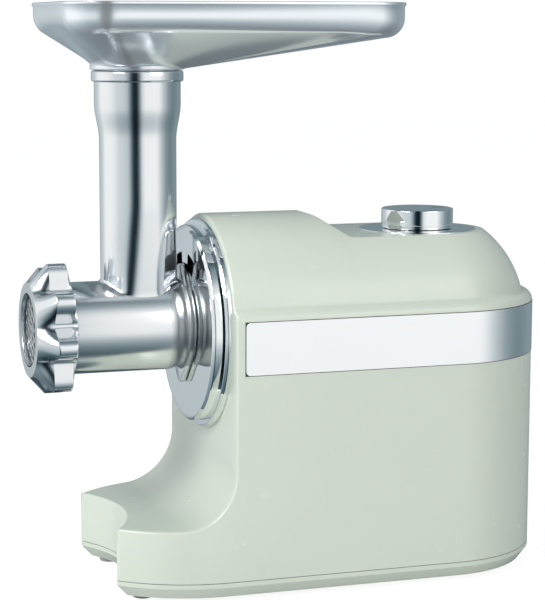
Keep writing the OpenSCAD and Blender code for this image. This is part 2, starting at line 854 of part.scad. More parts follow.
module armature_core() {
    slots = 12;
    color("dimgray") along_x(core_x0, motor_z) difference() {
        cylinder(h = core_l, r = armature_r);
        translate([0, 0, -1]) cylinder(h = core_l + 2, r = motor_shaft_r);
        for (i = [0 : slots - 1]) rotate([0, 0, 360 / slots * i])
            translate([armature_r - 7, -1.5, -1]) cube([9, 3, core_l + 2]);
    }
}

module armature_windings() {
    color("chocolate") for (x = [core_x0 - coil_out, core_x1])
        tube_x(x, x + coil_out, armature_r - 2, motor_shaft_r + 3, motor_z);
}

module commutator() {
    bars = 24;
    color("peru") along_x(commutator_x0, motor_z) difference() {
        cylinder(h = commutator_l, r = commutator_r);
        translate([0, 0, -1]) cylinder(h = commutator_l + 2, r = motor_shaft_r);
        for (i = [0 : bars - 1]) rotate([0, 0, 360 / bars * i])
            translate([commutator_r - 1.2, -0.25, -1]) cube([2, 0.5, commutator_l + 2]);
    }
}

module cooling_fan() {
    blades = 9;
    color("gray") along_x(fan_x0, motor_z) difference() {
        union() {
            cylinder(h = 1.5, r = fan_r);
            cylinder(h = fan_l, r = fan_hub_r);
            for (i = [0 : blades - 1]) rotate([0, 0, 360 / blades * i])
                translate([fan_hub_r - 1, -0.75, 0]) cube([fan_r - fan_hub_r, 1.5, fan_l]);
        }
        translate([0, 0, -1]) cylinder(h = fan_l + 2, r = motor_shaft_r);
    }
}

module motor_bearings() {
    color("silver") for (x = [front_frame_x, rear_frame_x])
        tube_x(x, x + bearing_w, bearing_r, motor_shaft_r + run_gap, motor_z);
}

module motor_core() {
    color("slategray") difference() {
        translate([core_x0, -core_w / 2, motor_z - core_h / 2]) cube([core_l, core_w, core_h]);
        rod_x(core_x0 - 1, core_x1 + 1, pole_r, motor_z);
        for (y = coil_y0, z = [motor_z - coil_half, motor_z + coil_half - coil_side_h])
            translate([core_x0 - 1, y, z]) cube([core_l + 2, coil_w, coil_side_h]);
        studs(core_x0 - 1, core_x1 + 1);
    }
}

module field_coils() {
    color("chocolate") for (y = coil_y0, x = [core_x0 - coil_out, core_x1])
        translate([x, y, motor_z - coil_half]) cube([coil_out, coil_w, 2 * coil_half]);
}

// Four studs of the motor from x0 to x1.
module studs(x0, x1) {
    for (s = [-1, 1], t = [-1, 1]) translate([0, s * stud_y, t * stud_z]) rod_x(x0, x1, stud_r, motor_z);
}

// End frame across the motor with arms to its studs.
module end_frame(x) {
    bar_h = 2 * bearing_r + 4;
    difference() {
        union() {
            translate([x, -core_w / 2, motor_z - bar_h / 2]) cube([frame_t, core_w, bar_h]);
            for (y = [-core_w / 2, core_w / 2 - arm_w])
                translate([x, y, motor_z - core_h / 2]) cube([frame_t, arm_w, core_h]);
            rod_x(x, x + bearing_w, bearing_r + 3, motor_z);
        }
        rod_x(x - 1, x + bearing_w + 1, bearing_r, motor_z);
    }
}

module motor_front_frame() {
    color("silver") {
        end_frame(front_frame_x);
        studs(front_frame_x + 1, core_x0 + core_l / 2);
        for (s = [-1, 1]) translate([case_x1, s * (fan_r + 4) - 3, motor_z + core_h / 2 - 8])
            cube([front_frame_x + 1 - case_x1, 6, 8]);
    }
}

module motor_rear_frame() {
    color("silver") {
        end_frame(rear_frame_x);
        studs(core_x0 + core_l / 2, rear_frame_x + 1);
    }
}

module brush_holders() {
    color("goldenrod") for (s = [-1, 1]) difference() {
        translate([brush_x - 6, s > 0 ? commutator_r + 2 : -core_w / 2 + 6, motor_z - 5])
            cube([rear_frame_x - brush_x + 6, core_w / 2 - commutator_r - 8, 10]);
        translate([brush_x - 4, s > 0 ? commutator_r : -core_w / 2, motor_z - 3]) cube([8, core_w / 2, 6]);
    }
}

module carbon_brushes() {
    color("black") for (y = [commutator_r + 0.3, -commutator_r - 0.3 - brush_l])
        translate([brush_x - 4, y, motor_z - 3]) cube([8, brush_l, 6]);
}

module circuit_board() {
    color("seagreen") translate([board_x0, -board_w / 2, board_z]) cube([board_l, board_w, 1.6]);
    color("darkslategray") translate([board_x0 + 8, -14, board_z + 1.6]) cube([16, 12, 14]);
    color("tan") translate([board_x0 + 30, 4, board_z + 1.6]) cylinder(h = 16, r = 6);
}

module terminal_block() {
    color("ivory") translate([board_x0 + 36, -16, board_z + 1.6]) difference() {
        cube([10, 18, 12]);
        for (i = [0 : 2]) translate([5, 3 + 6 * i, 6]) cylinder(h = 7, r = 2);
    }
}

module cord_gland() {
    x0 = rear_x - wall - 4;
    color("dimgray") difference() {
        union() {
            rod_x(x0, rear_x, gland_r - 2, gland_z);
            rod_x(x0, x0 + 3, gland_r, gland_z);
        }
        rod_x(x0 - 1, rear_x + 1, gland_bore_r, gland_z);
    }
}

// ---------- grinding head ----------

module grinder_head() {
    color(satin) difference() {
        union() {
            rod_x(barrel_x0, neck_x0 - 1, thread_r);
            rod_x(nut_x1 + 0.5, neck_x0, barrel_r);
            rod_x(neck_x0 - 1, flange_x0 + 1, spigot_r - 0.8);
            rod_x(flange_x0, flange_x1, barrel_r);
            rod_x(flange_x0 + 1, spigot_x1, spigot_r);
            for (s = [-1, 1]) lug(s);
            catch();
            feed_tube();
        }
        rod_x(barrel_x0 - 1, chamber_x1, bore_r);
        rod_x(chamber_x1 - 1, front_x, journal_r + run_gap);
        rod_x(chamber_x1 + rear_wall, front_x, spigot_hole_r);
        translate([tube_x, 0, 0]) rotate_extrude() polygon([[0, axis_z], [tube_in_r, axis_z],
            [tube_in_r, taper_z0], [mouth_in_r, taper_z1], [mouth_in_r, tube_top + 1], [0, tube_top + 1]]);
    }
}

// Tapered lug with a round tip on the rear flange, at the top or at the bottom.
module lug(s) {
    tip_y = lug_r - lug_tip_r;
    a = acos((barrel_r - lug_tip_r) / tip_y);
    side = (barrel_r - 1) * [cos(a), sin(a)];
    tip = [tip_y, 0] + (lug_tip_r - 0.2) * [cos(a), sin(a)];
    translate([flange_x0, 0, axis_z]) rotate([90 * s, 0, 0]) rotate([90, 0, 90]) {
        linear_extrude(flange_t) polygon([side, tip, [tip.x, -tip.y], [side.x, -side.y]]);
        translate([tip_y, 0, 0]) cylinder(h = flange_t, r = lug_tip_r);
    }
}

// Catch behind the top lug that passes through the slot of the socket plate.
module catch() {
    arc_block(flange_x1 - 1, catch_x1, slot_r0 + 0.4, lug_r - 0.5, catch_half, 90);
    arc_block(plate_x1 + 0.5, catch_x1, lug_r - 2, catch_r, catch_half, 90);
}

// Outside of the feed tube: foot with leaning flats, taper, wide end and lip.
module feed_tube() {
    difference() {
        translate([tube_x, 0, 0]) rotate_extrude() polygon([[0, axis_z], [tube_r, axis_z],
            [tube_r, taper_z0], [mouth_r, taper_z1], [mouth_r, tube_top - lip_h],
            [lip_r, tube_top - lip_h], [lip_r, tube_top], [0, tube_top]]);
        for (s = [-1, 1]) {
            tube_flat(rear_flat_turn * s, rear_flat_top);
            tube_flat(front_flat_turn * s, front_flat_top);
            tube_flat(side_flat_turn * s, side_flat_top);
        }
    }
}

// Leaning flat that cuts the foot of the feed tube on the side at angle a.
module tube_flat(a, top) {
    translate([tube_x, 0, axis_z + top]) rotate([0, 0, a]) rotate([0, flat_tilt, 0])
        translate([tube_r, -tube_r, -top]) cube([tube_r, 2 * tube_r, top]);
}

module auger() {
    l = auger_x1 - auger_x0;
    color("silver") along_x(auger_x0)
        linear_extrude(l, twist = 360 * l / auger_pitch, slices = 40, $fn = 24) auger_section($fn = 24);
}

// Cross-section of the auger: core and one flight.
module auger_section() {
    circle(r = auger_core);
    intersection() {
        circle(r = auger_r);
        translate([-flight_w / 2, 0]) square([flight_w, auger_r + 1]);
    }
}

module auger_shaft() {
    color("silver") {
        rod_x(nut_x0 + 3, knife_x0 + 1, pin_r);
        square_x(knife_x0, knife_x1);
        rod_x(auger_x1, journal_x1, journal_r);
        hex_x(journal_x1 - 1, hex_x1, hex_r);
    }
}

module knife() {
    color("silver") difference() {
        union() {
            rod_x(knife_x0, knife_x1, knife_hub_r);
            for (i = [0 : 3]) translate([knife_x0, 0, axis_z]) rotate([90 * i, 0, 0])
                translate([0, -blade_w / 2, 0]) cube([knife_t, blade_w, knife_r]);
        }
        square_x(knife_x0 - 1, knife_x1 + 1);
    }
}

module cutting_plate() {
    rings = 3;
    color("silver") along_x(disc_x0) difference() {
        cylinder(h = disc_t, r = bore_r - 0.1);
        translate([0, 0, -1]) cylinder(h = disc_t + 2, r = pin_r + run_gap);
        for (i = [-rings : rings], j = [-rings : rings]) let (
            x = disc_pitch * (i + j / 2),
            y = disc_pitch * j * sqrt(3) / 2,
            r = norm([x, y]))
            if (r > pin_r + disc_hole_r + 0.3 && r < bore_r - disc_hole_r - 2.5)
                translate([x, y, -1]) cylinder(h = disc_t + 2, r = disc_hole_r, $fn = 24);
    }
}

module ring_nut() {
    color(satin) difference() {
        along_x(nut_x0) rotate_extrude() polygon(nut_profile());
        for (i = [0 : nut_lobes - 1]) along_x(nut_x0 - 1)
            rotate([0, 0, -90 + nut_phase + 360 / nut_lobes * (i + 0.5)])
                translate([nut_root_r + nut_scallop_r, 0]) cylinder(h = nut_l + 2, r = nut_scallop_r);
    }
}

// Half section of the ring nut: rim, cone, lobes, thread zone, seat of the plate and opening.
function nut_profile() = [
    [nut_open_r, 0], [nut_rim_r, 0], [nut_r, nut_cone], [nut_r, nut_l - nut_slant],
    [nut_root_r + 0.5, nut_l], [thread_r + run_gap, nut_l],
    [thread_r + run_gap, barrel_x0 - lip_gap - nut_x0], [bore_r + 0.5, barrel_x0 - lip_gap - nut_x0],
    [bore_r + 0.5, disc_x0 - lip_gap - nut_x0], [nut_open_r, disc_x0 - lip_gap - nut_x0]];

// ---------- hopper tray ----------

// Funnel between the tray's crease and its throat, inset by in.
module tray_funnel(in) {
    hull() {
        translate([0, 0, tray_z0 + tray_crease + in]) linear_extrude(eps)
            round_rect(tray_x0 + tray_draft + in, tray_x1 - tray_draft - in, tray_w - 2 * (tray_draft + in),
                tray_corner - tray_draft, $fn = 48);
        translate([tube_x, 0, tray_z0 + in]) cylinder(h = eps, r = throat_r + 3 - in, $fn = 48);
    }
}

// Sides of the tray between crease and rim, inset by in.
module tray_sides(in, z_end) {
    hull() {
        translate([0, 0, tray_z0 + tray_crease + in]) linear_extrude(eps)
            round_rect(tray_x0 + tray_draft + in, tray_x1 - tray_draft - in, tray_w - 2 * (tray_draft + in),
                tray_corner - tray_draft, $fn = 48);
        translate([0, 0, z_end - eps]) linear_extrude(eps)
            round_rect(tray_x0 + rim_w + in, tray_x1 - rim_w - in, tray_w - 2 * (rim_w + in),
                tray_corner - rim_w, $fn = 48);
    }
}

module hopper_tray() {
    color(satin) difference() {
        union() {
            tray_funnel(0);
            tray_sides(0, tray_top);
            translate([0, 0, tray_top - rim_w]) linear_extrude(rim_w)
                round_rect(tray_x0, tray_x1, tray_w, tray_corner);
            translate([tube_x, 0, tray_z0]) cylinder(h = tray_flange_t, r = tray_flange_r);
            translate([tube_x, 0, tray_z0 - tray_spigot]) cylinder(h = tray_spigot + tray_flange_t,
                r = throat_r + tray_t);
        }
        tray_funnel(tray_t);
        tray_sides(tray_t, tray_top + 1);
        translate([tube_x, 0, tray_z0 - tray_spigot - 1]) cylinder(h = big, r = throat_r);
    }
}

housing();
base_cover();
rubber_feet();
base_screws();
side_band();
bezel_ring();
front_ring();
socket_plate();
knob_disc();
control_knob();
knob_spindle();
rotary_switch();
gearbox_case();
gearbox_cover();
gearbox_screws();
output_bushes();
counter_bushes();
output_gear();
output_shaft();
drive_socket();
counter_gear();
counter_shaft();
motor_pinion();
motor_shaft();
armature_core();
armature_windings();
commutator();
cooling_fan();
motor_bearings();
motor_core();
field_coils();
motor_front_frame();
motor_rear_frame();
brush_holders();
carbon_brushes();
circuit_board();
terminal_block();
cord_gland();
grinder_head();
auger();
auger_shaft();
knife();
cutting_plate();
ring_nut();
hopper_tray();
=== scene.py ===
"""Electric meat grinder: finished surfaces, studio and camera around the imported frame."""
import json
import math

import bmesh
import bpy
from mathutils import Matrix, Vector


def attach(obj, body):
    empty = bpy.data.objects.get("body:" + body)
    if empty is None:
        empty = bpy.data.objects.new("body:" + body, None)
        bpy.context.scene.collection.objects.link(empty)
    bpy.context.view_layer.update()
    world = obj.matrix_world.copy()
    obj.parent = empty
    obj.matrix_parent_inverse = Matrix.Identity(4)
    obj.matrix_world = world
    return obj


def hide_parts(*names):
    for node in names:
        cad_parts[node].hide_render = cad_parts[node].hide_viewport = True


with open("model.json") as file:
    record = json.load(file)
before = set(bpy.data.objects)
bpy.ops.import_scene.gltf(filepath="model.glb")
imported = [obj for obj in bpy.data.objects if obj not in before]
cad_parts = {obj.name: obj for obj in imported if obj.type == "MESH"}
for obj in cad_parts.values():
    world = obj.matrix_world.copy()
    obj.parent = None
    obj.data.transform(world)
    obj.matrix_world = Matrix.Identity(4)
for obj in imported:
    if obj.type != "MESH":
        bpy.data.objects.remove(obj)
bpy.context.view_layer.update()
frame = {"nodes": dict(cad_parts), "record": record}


# ---------- shader kit ----------

class Value:
    """A shader socket; arithmetic on it adds Math nodes."""

    def __init__(self, tree, socket):
        self.tree, self.socket = tree, socket

    def math(self, operation, *others):
        """This value and the others, in order, through one Math node."""
        values = dict(enumerate((self,) + others))
        return self.tree.add("ShaderNodeMath", {"operation": operation}, values)

    def flipped(self, operation, other):
        """The same with the other value first."""
        return self.tree.add("ShaderNodeMath", {"operation": operation}, {0: other, 1: self})

    def __add__(self, other):
        return self.math("ADD", other)

    def __sub__(self, other):
        return self.math("SUBTRACT", other)

    def __rsub__(self, other):
        return self.flipped("SUBTRACT", other)

    def __mul__(self, other):
        return self.math("MULTIPLY", other)

    def __truediv__(self, other):
        return self.math("DIVIDE", other)

    def __rtruediv__(self, other):
        return self.flipped("DIVIDE", other)

    __radd__ = __add__
    __rmul__ = __mul__


class Tree:
    """Adds nodes to one node tree and links them."""

    def __init__(self, nodes_owner):
        nodes_owner.use_nodes = True
        self.tree = nodes_owner.node_tree
        self.tree.nodes.clear()

    def add(self, kind, settings=None, values=None, out=0):
        """New node: its settings first, then the values or links of its sockets; gives output out."""
        node = self.tree.nodes.new(kind)
        for name, value in (settings or {}).items():
            if name == "stops":
                ramp = node.color_ramp
                while len(ramp.elements) < len(value):
                    ramp.elements.new(0.5)
                for element, (place, colour) in zip(ramp.elements, value):
                    element.position = place
                    element.color = colour if len(colour) == 4 else (*colour, 1)
            else:
                setattr(node, name, value)
        for name, value in (values or {}).items():
            socket = node.inputs[name]
            if isinstance(value, Value):
                self.tree.links.new(value.socket, socket)
            elif value is not None:
                socket.default_value = value
        return Value(self, node.outputs[out]) if node.outputs else None

    def place(self):
        return self.add("ShaderNodeTexCoord", out="Object")

    def parts(self, vector):
        """X, Y and Z of a vector."""
        node = self.add("ShaderNodeSeparateXYZ", values={0: vector}).socket.node
        return [Value(self, node.outputs[i]) for i in range(3)]

    def scaled(self, vector, scale):
        return self.add("ShaderNodeMapping", values={"Vector": vector, "Scale": scale})

    def noise(self, vector, scale, detail=3.0, rough=0.5):
        values = {"Vector": vector, "Scale": scale, "Detail": detail, "Roughness": rough}
        return self.add("ShaderNodeTexNoise", values=values, out="Fac")

    def rise(self, value, start, end):
        """0 below start, 1 above end, smooth between them."""
        values = {"Value": value, "From Min": start, "From Max": end}
        return self.add("ShaderNodeMapRange", {"interpolation_type": "SMOOTHSTEP"}, values)

    def mix(self, factor, first, second, blend="MIX"):
        """Colour from first to second as factor goes from 0 to 1."""
        settings = {"data_type": "RGBA", "blend_type": blend}
        return self.add("ShaderNodeMix", settings, {0: factor, 6: first, 7: second}, out=2)

    def bump(self, height, depth):
        return self.add("ShaderNodeBump", values={"Height": height, "Distance": depth})

    def rays(self):
        """Whether the ray comes from the camera, and whether from a mirror."""
        paths = self.add("ShaderNodeLightPath").socket.node
        return [Value(self, paths.outputs[name]) for name in ("Is Camera Ray", "Is Glossy Ray")]


# Depths of the plastic's orange peel and the mirror's waves, in metres; roughness of the clear coat.
PEEL_DEPTH = 2e-5
WAVE_DEPTH = 1e-5
COAT_ROUGH = 0.06


def rgba(colour, scale=1.0):
    """Opaque colour, made lighter or darker by scale."""
    return tuple(min(1.0, c * scale) for c in colour) + (1.0,)


def finish_material(tree, values):
    """Ends a material's tree with its surface."""
    surface = tree.add("ShaderNodeBsdfPrincipled", values=values)
    tree.add("ShaderNodeOutputMaterial", values={"Surface": surface})


def material(name):
    """New material and its tree."""
    mat = bpy.data.materials.new(name)
    return mat, Tree(mat)


def moulded(name, colour, rough, coat=0.0, cloud=0.02):
    """Moulded plastic: faint orange peel, slight tone drift and handling marks."""
    mat, t = material(name)
    place = t.place()
    drift = t.rise(t.noise(place, 9.0, 4), 0.35, 0.65)
    marks = t.rise(t.noise(place, 60.0, 5, 0.6), 0.5, 0.8)
    peeled = t.noise(place, 900.0, 2)
    values = {
        "Base Color": t.mix(drift, rgba(colour, 1 - cloud), rgba(colour, 1 + cloud)),
        "Roughness": rough + 0.05 * marks,
        "Normal": t.bump(peeled, PEEL_DEPTH),
        "Coat Weight": coat,
        "Coat Roughness": COAT_ROUGH,
    }
    finish_material(t, values)
    return mat


def mirror_metal(name, colour, rough=0.04):
    """Plated mirror finish with faint polishing haze."""
    mat, t = material(name)
    place = t.place()
    haze = t.rise(t.noise(place, 35.0, 5, 0.6), 0.45, 0.8)
    wave = t.noise(place, 30.0, 1)
    values = {
        "Base Color": t.mix(haze, rgba(colour), rgba(colour, 0.97)),
        "Metallic": 1.0,
        "Roughness": rough + 0.03 * haze,
        "Normal": t.bump(wave, WAVE_DEPTH),
    }
    finish_material(t, values)
    return mat


# ---------- mesh kit, in millimetres ----------

# A millimetre, and the distance under which points merge, in metres.
MM = 0.001
MERGE = 2e-6


def new_object(name, data):
    """Object, put into the scene."""
    obj = bpy.data.objects.new(name, data)
    bpy.context.scene.collection.objects.link(obj)
    return obj


def plain_mesh(obj):
    """Mesh of an object as its modifiers make it; they are taken off."""
    bpy.context.view_layer.update()
    seen = obj.evaluated_get(bpy.context.evaluated_depsgraph_get())
    mesh = bpy.data.meshes.new_from_object(seen)
    obj.modifiers.clear()
    return mesh


class Skin:
    """Points and faces of one piece, in millimetres."""

    def __init__(self):
        self.points, self.faces = [], []

    def grid(self, rows, around=False, along=False):
        """Quads between rows of points; around closes each row, along joins the last row to the first."""
        start, count, size = len(self.points), len(rows), len(rows[0])
        for row in rows:
            self.points += [tuple(p) for p in row]
        for i in range(count if along else count - 1):
            for j in range(size if around else size - 1):
                a, b = i * size, (i + 1) % count * size
                k = (j + 1) % size
                self.faces.append((start + a + j, start + a + k, start + b + k, start + b + j))

    def lathe(self, profile, axis, centre, sides, closed):
        """Turns (along, radius) points about the X or Z axis through centre."""
        rows = []
        for i in range(sides):
            a = 2 * math.pi * i / sides
            c, s = math.cos(a), math.sin(a)
            row = [(centre[0] + r * c, centre[1] + r * s, along) for along, r in profile]
            rows.append([(z, x, y) for x, y, z in row] if axis == "X" else row)
        self.grid(rows, around=closed, along=True)

    def mirror(self):
        """Adds the same surface on the other side of the middle plane."""
        start = len(self.points)
        self.points += [(x, -y, z) for x, y, z in self.points]
        self.faces += [tuple(start + i for i in reversed(face)) for face in self.faces]

    def piece(self, name, body, mat, slot, replaces=(), sharp=32):
        """Makes the object from the points and faces."""
        mesh = bpy.data.meshes.new(name)
        mesh.from_pydata([(x * MM, y * MM, z * MM) for x, y, z in self.points], [], self.faces)
        return finished(mesh, name, body, mat, replaces, sharp)


def grid_skin(rows, around=True, along=True):
    """Skin of one grid of points."""
    skin = Skin()
    skin.grid(rows, around, along)
    return skin


def turned_skin(profile, axis, centre, sides, closed=True):
    """Skin of one turned profile."""
    skin = Skin()
    skin.lathe(profile, axis, centre, sides, closed)
    return skin


def finished(mesh, name, body, mat, replaces=(), sharp=32):
    """Object from a mesh: points merged, faces outward, smooth but for sharp edges, on its body."""
    edit = bmesh.new()
    edit.from_mesh(mesh)
    bmesh.ops.remove_doubles(edit, verts=edit.verts, dist=MERGE)
    bmesh.ops.dissolve_degenerate(edit, dist=MERGE / 2, edges=edit.edges)
    bmesh.ops.recalc_face_normals(edit, faces=edit.faces)
    middle = sum((v.co for v in edit.verts), Vector()) / len(edit.verts)
    for island in islands(edit):
        if sum(f.calc_area() * f.normal.dot(f.calc_center_median() - middle) for f in island) < 0:
            bmesh.ops.reverse_faces(edit, faces=island)
    edit.to_mesh(mesh)
    edit.free()
    mesh.shade_smooth()
    mesh.set_sharp_from_angle(angle=math.radians(sharp))
    mesh.materials.append(mat)
    obj = new_object(name, mesh)
    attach(obj, body)
    if replaces:
        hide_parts(*replaces)
    return obj


def islands(edit):
    """Groups of joined faces."""
    left, groups = set(edit.faces), []
    while left:
        group, todo = [], [left.pop()]
        while todo:
            face = todo.pop()
            group.append(face)
            for edge in face.edges:
                for other in edge.link_faces:
                    if other in left:
                        left.remove(other)
                        todo.append(other)
        groups.append(group)
    return groups


def rounded(corners, steps=6, closed=True):
    """Profile through corners (a, b, radius) with each corner rounded."""
    points = []
    for i, (a, b, r) in enumerate(corners):
        here = Vector((a, b))
        if r == 0 or (not closed and i in (0, len(corners) - 1)):
            points.append(here)
            continue
        before = (Vector(corners[i - 1][:2]) - here).normalized()
        after = (Vector(corners[(i + 1) % len(corners)][:2]) - here).normalized()
        half = before.angle(after) / 2
        centre = here + (before + after).normalized() * (r / math.sin(half))
        start = here + before * (r / math.tan(half)) - centre
        end = here + after * (r / math.tan(half)) - centre
        turn = start.angle(end)
        for k in range(steps + 1):
            f = k / steps
            arm = (start * math.sin((1 - f) * turn) + end * math.sin(f * turn)) / math.sin(turn)
            points.append(centre + arm)
    return points


def spread(start, end, count):
    """Evenly spaced values from start to end, count steps apart."""
    return [start + (end - start) * i / count for i in range(count + 1)]


def soft_min(values, k):
    """Smallest of the values, blended over about k where two are close."""
    low = min(values)
    return low - k * math.log(sum(math.exp((low - v) / k) for v in values))


def smooth(v):
    """Eases 0 to 1."""
    v = min(1.0, max(0.0, v))
    return v * v * (3 - 2 * v)


def cut(target, tool_skin, name, mat):
    """Cuts a solid out of target for good; mat is the finish of the cut faces."""
    tool = tool_skin.piece(name, "machine", mat, "cream_plastic")
    cutter = target.modifiers.new("cut", "BOOLEAN")
    cutter.operation, cutter.object, cutter.solver = "DIFFERENCE", tool, "EXACT"
    target.data = plain_mesh(target)
    bpy.data.objects.remove(tool)


# ---------- sizes, in millimetres ----------

AXIS_Z = 176.5
FRONT_X = -59.5
SIDE_Y = 80.5
SEAM_Z = 14.0
DECK_Z = 236.5
TUBE_X = -104.5
BAND_Z = (152.0, 187.0)
SIDE_MIDDLE_Z = 120.0
# The dome over the side, and the place along X where the round rear starts.
DOME_R = 75.0
DOME_X = 101.0
DOME_FOOT_Z = 195.6
# The slope from crest to deck: places and radii of its rounded ends.
STEP_X = (13.0, 32.5)
STEP_R = (16.0, 7.0)
CREST_R = 1.8
LEVEL_SLACK = 0.02
# The shoulder over the side, its turn in degrees, and the crease up to the dome as shares of the way.
SHOULDER_R = 7.0
SHOULDER_Z = 187.2
SHOULDER_TURN = 76
CREASE = ((0.35, 0.12), (0.75, 0.45))
# The flat front, its softened edge and its round opening.
FACE_EDGE = 1.6
FACE_OPENING = 60.0
# The toes: top, radius of the blend up to the front, softened edge.
TOE_Z = 49.0
TOE_R = 38.0
TOE_X = FRONT_X - TOE_R
TOE_EDGE = 1.6
TOE_EDGE_SHARE = 0.42
FACE_FOOT = TOE_Z + TOE_R
# Arcs of the toes seen from above: where the side starts to bend, or the centre, along X; then the radius.
TOE_BEND = (-64.5, 101.5)
HOLLOW = (-207.07, 89.57)
HOLLOW_HALF = 52.5
HOLLOW_TURN = math.asin(HOLLOW_HALF / HOLLOW[1])


# ---------- housing ----------

def step_line():
    """Side view of the top: level crest, straight slope with rounded ends, level deck."""
    crest_z = AXIS_Z + DOME_R
    corners = [(FRONT_X, crest_z, 0), (STEP_X[0], crest_z, STEP_R[0]), (STEP_X[1], DECK_Z, STEP_R[1]),
               (DOME_X, DECK_Z, 0)]
    return rounded(corners, 10, closed=False)


def half_section(top, inset=0.0):
    """Half of the body's section from the seam up to its middle, cut at height top."""
    round_r, shoulder_r = DOME_R - inset, SHOULDER_R - inset
    points = [(SIDE_Y - inset, z) for z in (SEAM_Z, TOE_Z, FACE_FOOT, SIDE_MIDDLE_Z, *BAND_Z)]
    for a in spread(0, math.radians(SHOULDER_TURN), 8)[1:]:
        points.append((SIDE_Y - SHOULDER_R + shoulder_r * math.cos(a), SHOULDER_Z + shoulder_r * math.sin(a)))
    start = math.asin((DOME_FOOT_Z - AXIS_Z) / DOME_R)
    y0, z0 = points[-1]
    y1, z1 = round_r * math.cos(start), AXIS_Z + round_r * math.sin(start)
    points += [(y0 + (y1 - y0) * in_y, z0 + (z1 - z0) * up_z) for in_y, up_z in CREASE]
    flat_top = top - inset
    if flat_top < AXIS_Z + DOME_R - inset - LEVEL_SLACK:
        rise = flat_top - CREST_R - AXIS_Z
        crest_y = math.sqrt(max((round_r - CREST_R) ** 2 - rise ** 2, 0.0))
        end = math.atan2(rise, crest_y)
    else:
        crest_y, end = 0.0, math.pi / 2
    points += [(round_r * math.cos(a), AXIS_Z + round_r * math.sin(a)) for a in spread(start, end, 26)]
    for a in spread(end, math.pi / 2, 4)[1:]:
        if crest_y:
            points.append((crest_y + CREST_R * math.cos(a), flat_top - CREST_R + CREST_R * math.sin(a)))
        else:
            points.append(points[-1])
    last_y, last_z = points[-1]
    return points + [(last_y * (1 - k / 6), last_z) for k in range(1, 7)]


def toe_width(x):
    """Half width of the toes at x."""
    if x > TOE_BEND[0]:
        return SIDE_Y
    return math.sqrt(TOE_BEND[1] ** 2 - (x - TOE_BEND[0]) ** 2) - (TOE_BEND[1] - SIDE_Y)


def toe_top(x):
    """Height of the toes' top at x, with the blend up to the front face."""
    if x < TOE_X:
        return TOE_Z
    return TOE_Z + TOE_R - math.sqrt(max(TOE_R ** 2 - (x - TOE_X) ** 2, 0.0))


def rim_rows(outline):
    """Rows round from the top sheet to the wall and down to the seam, for each (place, up, out, radius)."""
    rows = []
    for place, up, out, r in outline:
        centre = place - up * r - out * r
        row = [centre + (up * math.cos(a) + out * math.sin(a)) * r for a in spread(0, math.pi / 2, 4)]
        foot = row[-1].copy()
        foot.z = SEAM_Z
        rows.append(row + [foot])
    return rows


def toe_surfaces(skin):
    """Top of the toes, their blend up to the front face, and their walls: one half."""
    places = [(TOE_X + TOE_R * math.cos(a), 0.0) for a in spread(0, math.pi / 2, 22)]
    nose = HOLLOW[0] + HOLLOW[1]
    places += [(x, 0.0) for x in spread(TOE_X, nose, 5)[1:]]
    for a in spread(0, HOLLOW_TURN, 16)[1:]:
        places.append((HOLLOW[0] + HOLLOW[1] * math.cos(a), HOLLOW[1] * math.sin(a)))
    side, hollow, sheet = [], [], []
    for x, inner in places:
        width = toe_width(x)
        r = min(TOE_EDGE, TOE_EDGE_SHARE * (width - inner))
        lean = max(0.0, (x - TOE_X) / TOE_R)
        up = Vector((-lean, 0, math.sqrt(max(1 - lean ** 2, 0.0))))
        out = Vector((min(0.0, (x - TOE_BEND[0]) / TOE_BEND[1]), 0, 0))
        out.y = math.sqrt(1 - out.x ** 2)
        edge = (Vector((x, width, toe_top(x))), up, out, r)
        side.append(edge)
        far = edge[0] - out * r
        near = Vector((x, 0, toe_top(x)))
        if inner or x == nose:
            turn = math.asin(inner / HOLLOW[1])
            away = Vector((-math.cos(turn), -math.sin(turn), 0))
            hollow.append((Vector((x, inner, TOE_Z)), Vector((0, 0, 1)), away, r))
            near = hollow[-1][0] - away * r
        sheet.append([near.lerp(far, v) for v in spread(0, 1, 14)])
    skin.grid(sheet)
    skin.grid(rim_rows(side))
    skin.grid(rim_rows(hollow))


def front_face(skin, edge, hole):
    """Flat front between the housing's edge and the round opening, one half."""
    bottom = [(y, FACE_FOOT) for y in spread(0.0, edge[0][0], 8)[:-1]]
    rows = []
    for y, z in bottom + [p for p in edge if p[1] >= FACE_FOOT - 0.01]:
        ray = Vector((y, z - AXIS_Z)).normalized()
        inner = ray * hole
        away_y, away_z = inner.x - y, inner.y + AXIS_Z - z
        rows.append([(FRONT_X, y + away_y * v, z + away_z * v) for v in spread(0, 1, 3)])
    skin.grid(rows)


def housing_skin():
    """Upper shell with its step, round rear and toes, open underneath."""
    skin = Skin()
    columns = []
    for a in spread(0, math.pi / 2, 4):
        edge = half_section(AXIS_Z + DOME_R, FACE_EDGE * (1 - math.sin(a)))
        columns.append([(FRONT_X + FACE_EDGE * (1 - math.cos(a)), y, z) for y, z in edge])
    for x, top in step_line()[1:]:
        columns.append([(x, y, z) for y, z in half_section(top)])
    rear = half_section(DECK_Z)
    for a in spread(0, math.pi / 2, 30)[1:]:
        columns.append([(DOME_X + y * math.sin(a), y * math.cos(a), z) for y, z in rear])
    skin.grid(columns)
    front_face(skin, half_section(AXIS_Z + DOME_R, FACE_EDGE), FACE_OPENING)
    toe_surfaces(skin)
    skin.mirror()
    return skin


# ---------- trim, knob and rings ----------

TRIM_SIDES = 160
KNOB_X = 99.5
KNOB_Z = DECK_Z + 0.9
KNOB_TOP = KNOB_Z + 13.5
KNOB_R = 25.3
KNOB_FLAT_R = 20.0
KNOB_INNER_R = 22.0
KNOB_ROOF_Z = KNOB_Z + 6.0
# The pointer bar on the knob, out from its middle.
MARK_X = (11.0, 21.5)
MARK_HALF = 0.8
MARK_END_R = 0.7
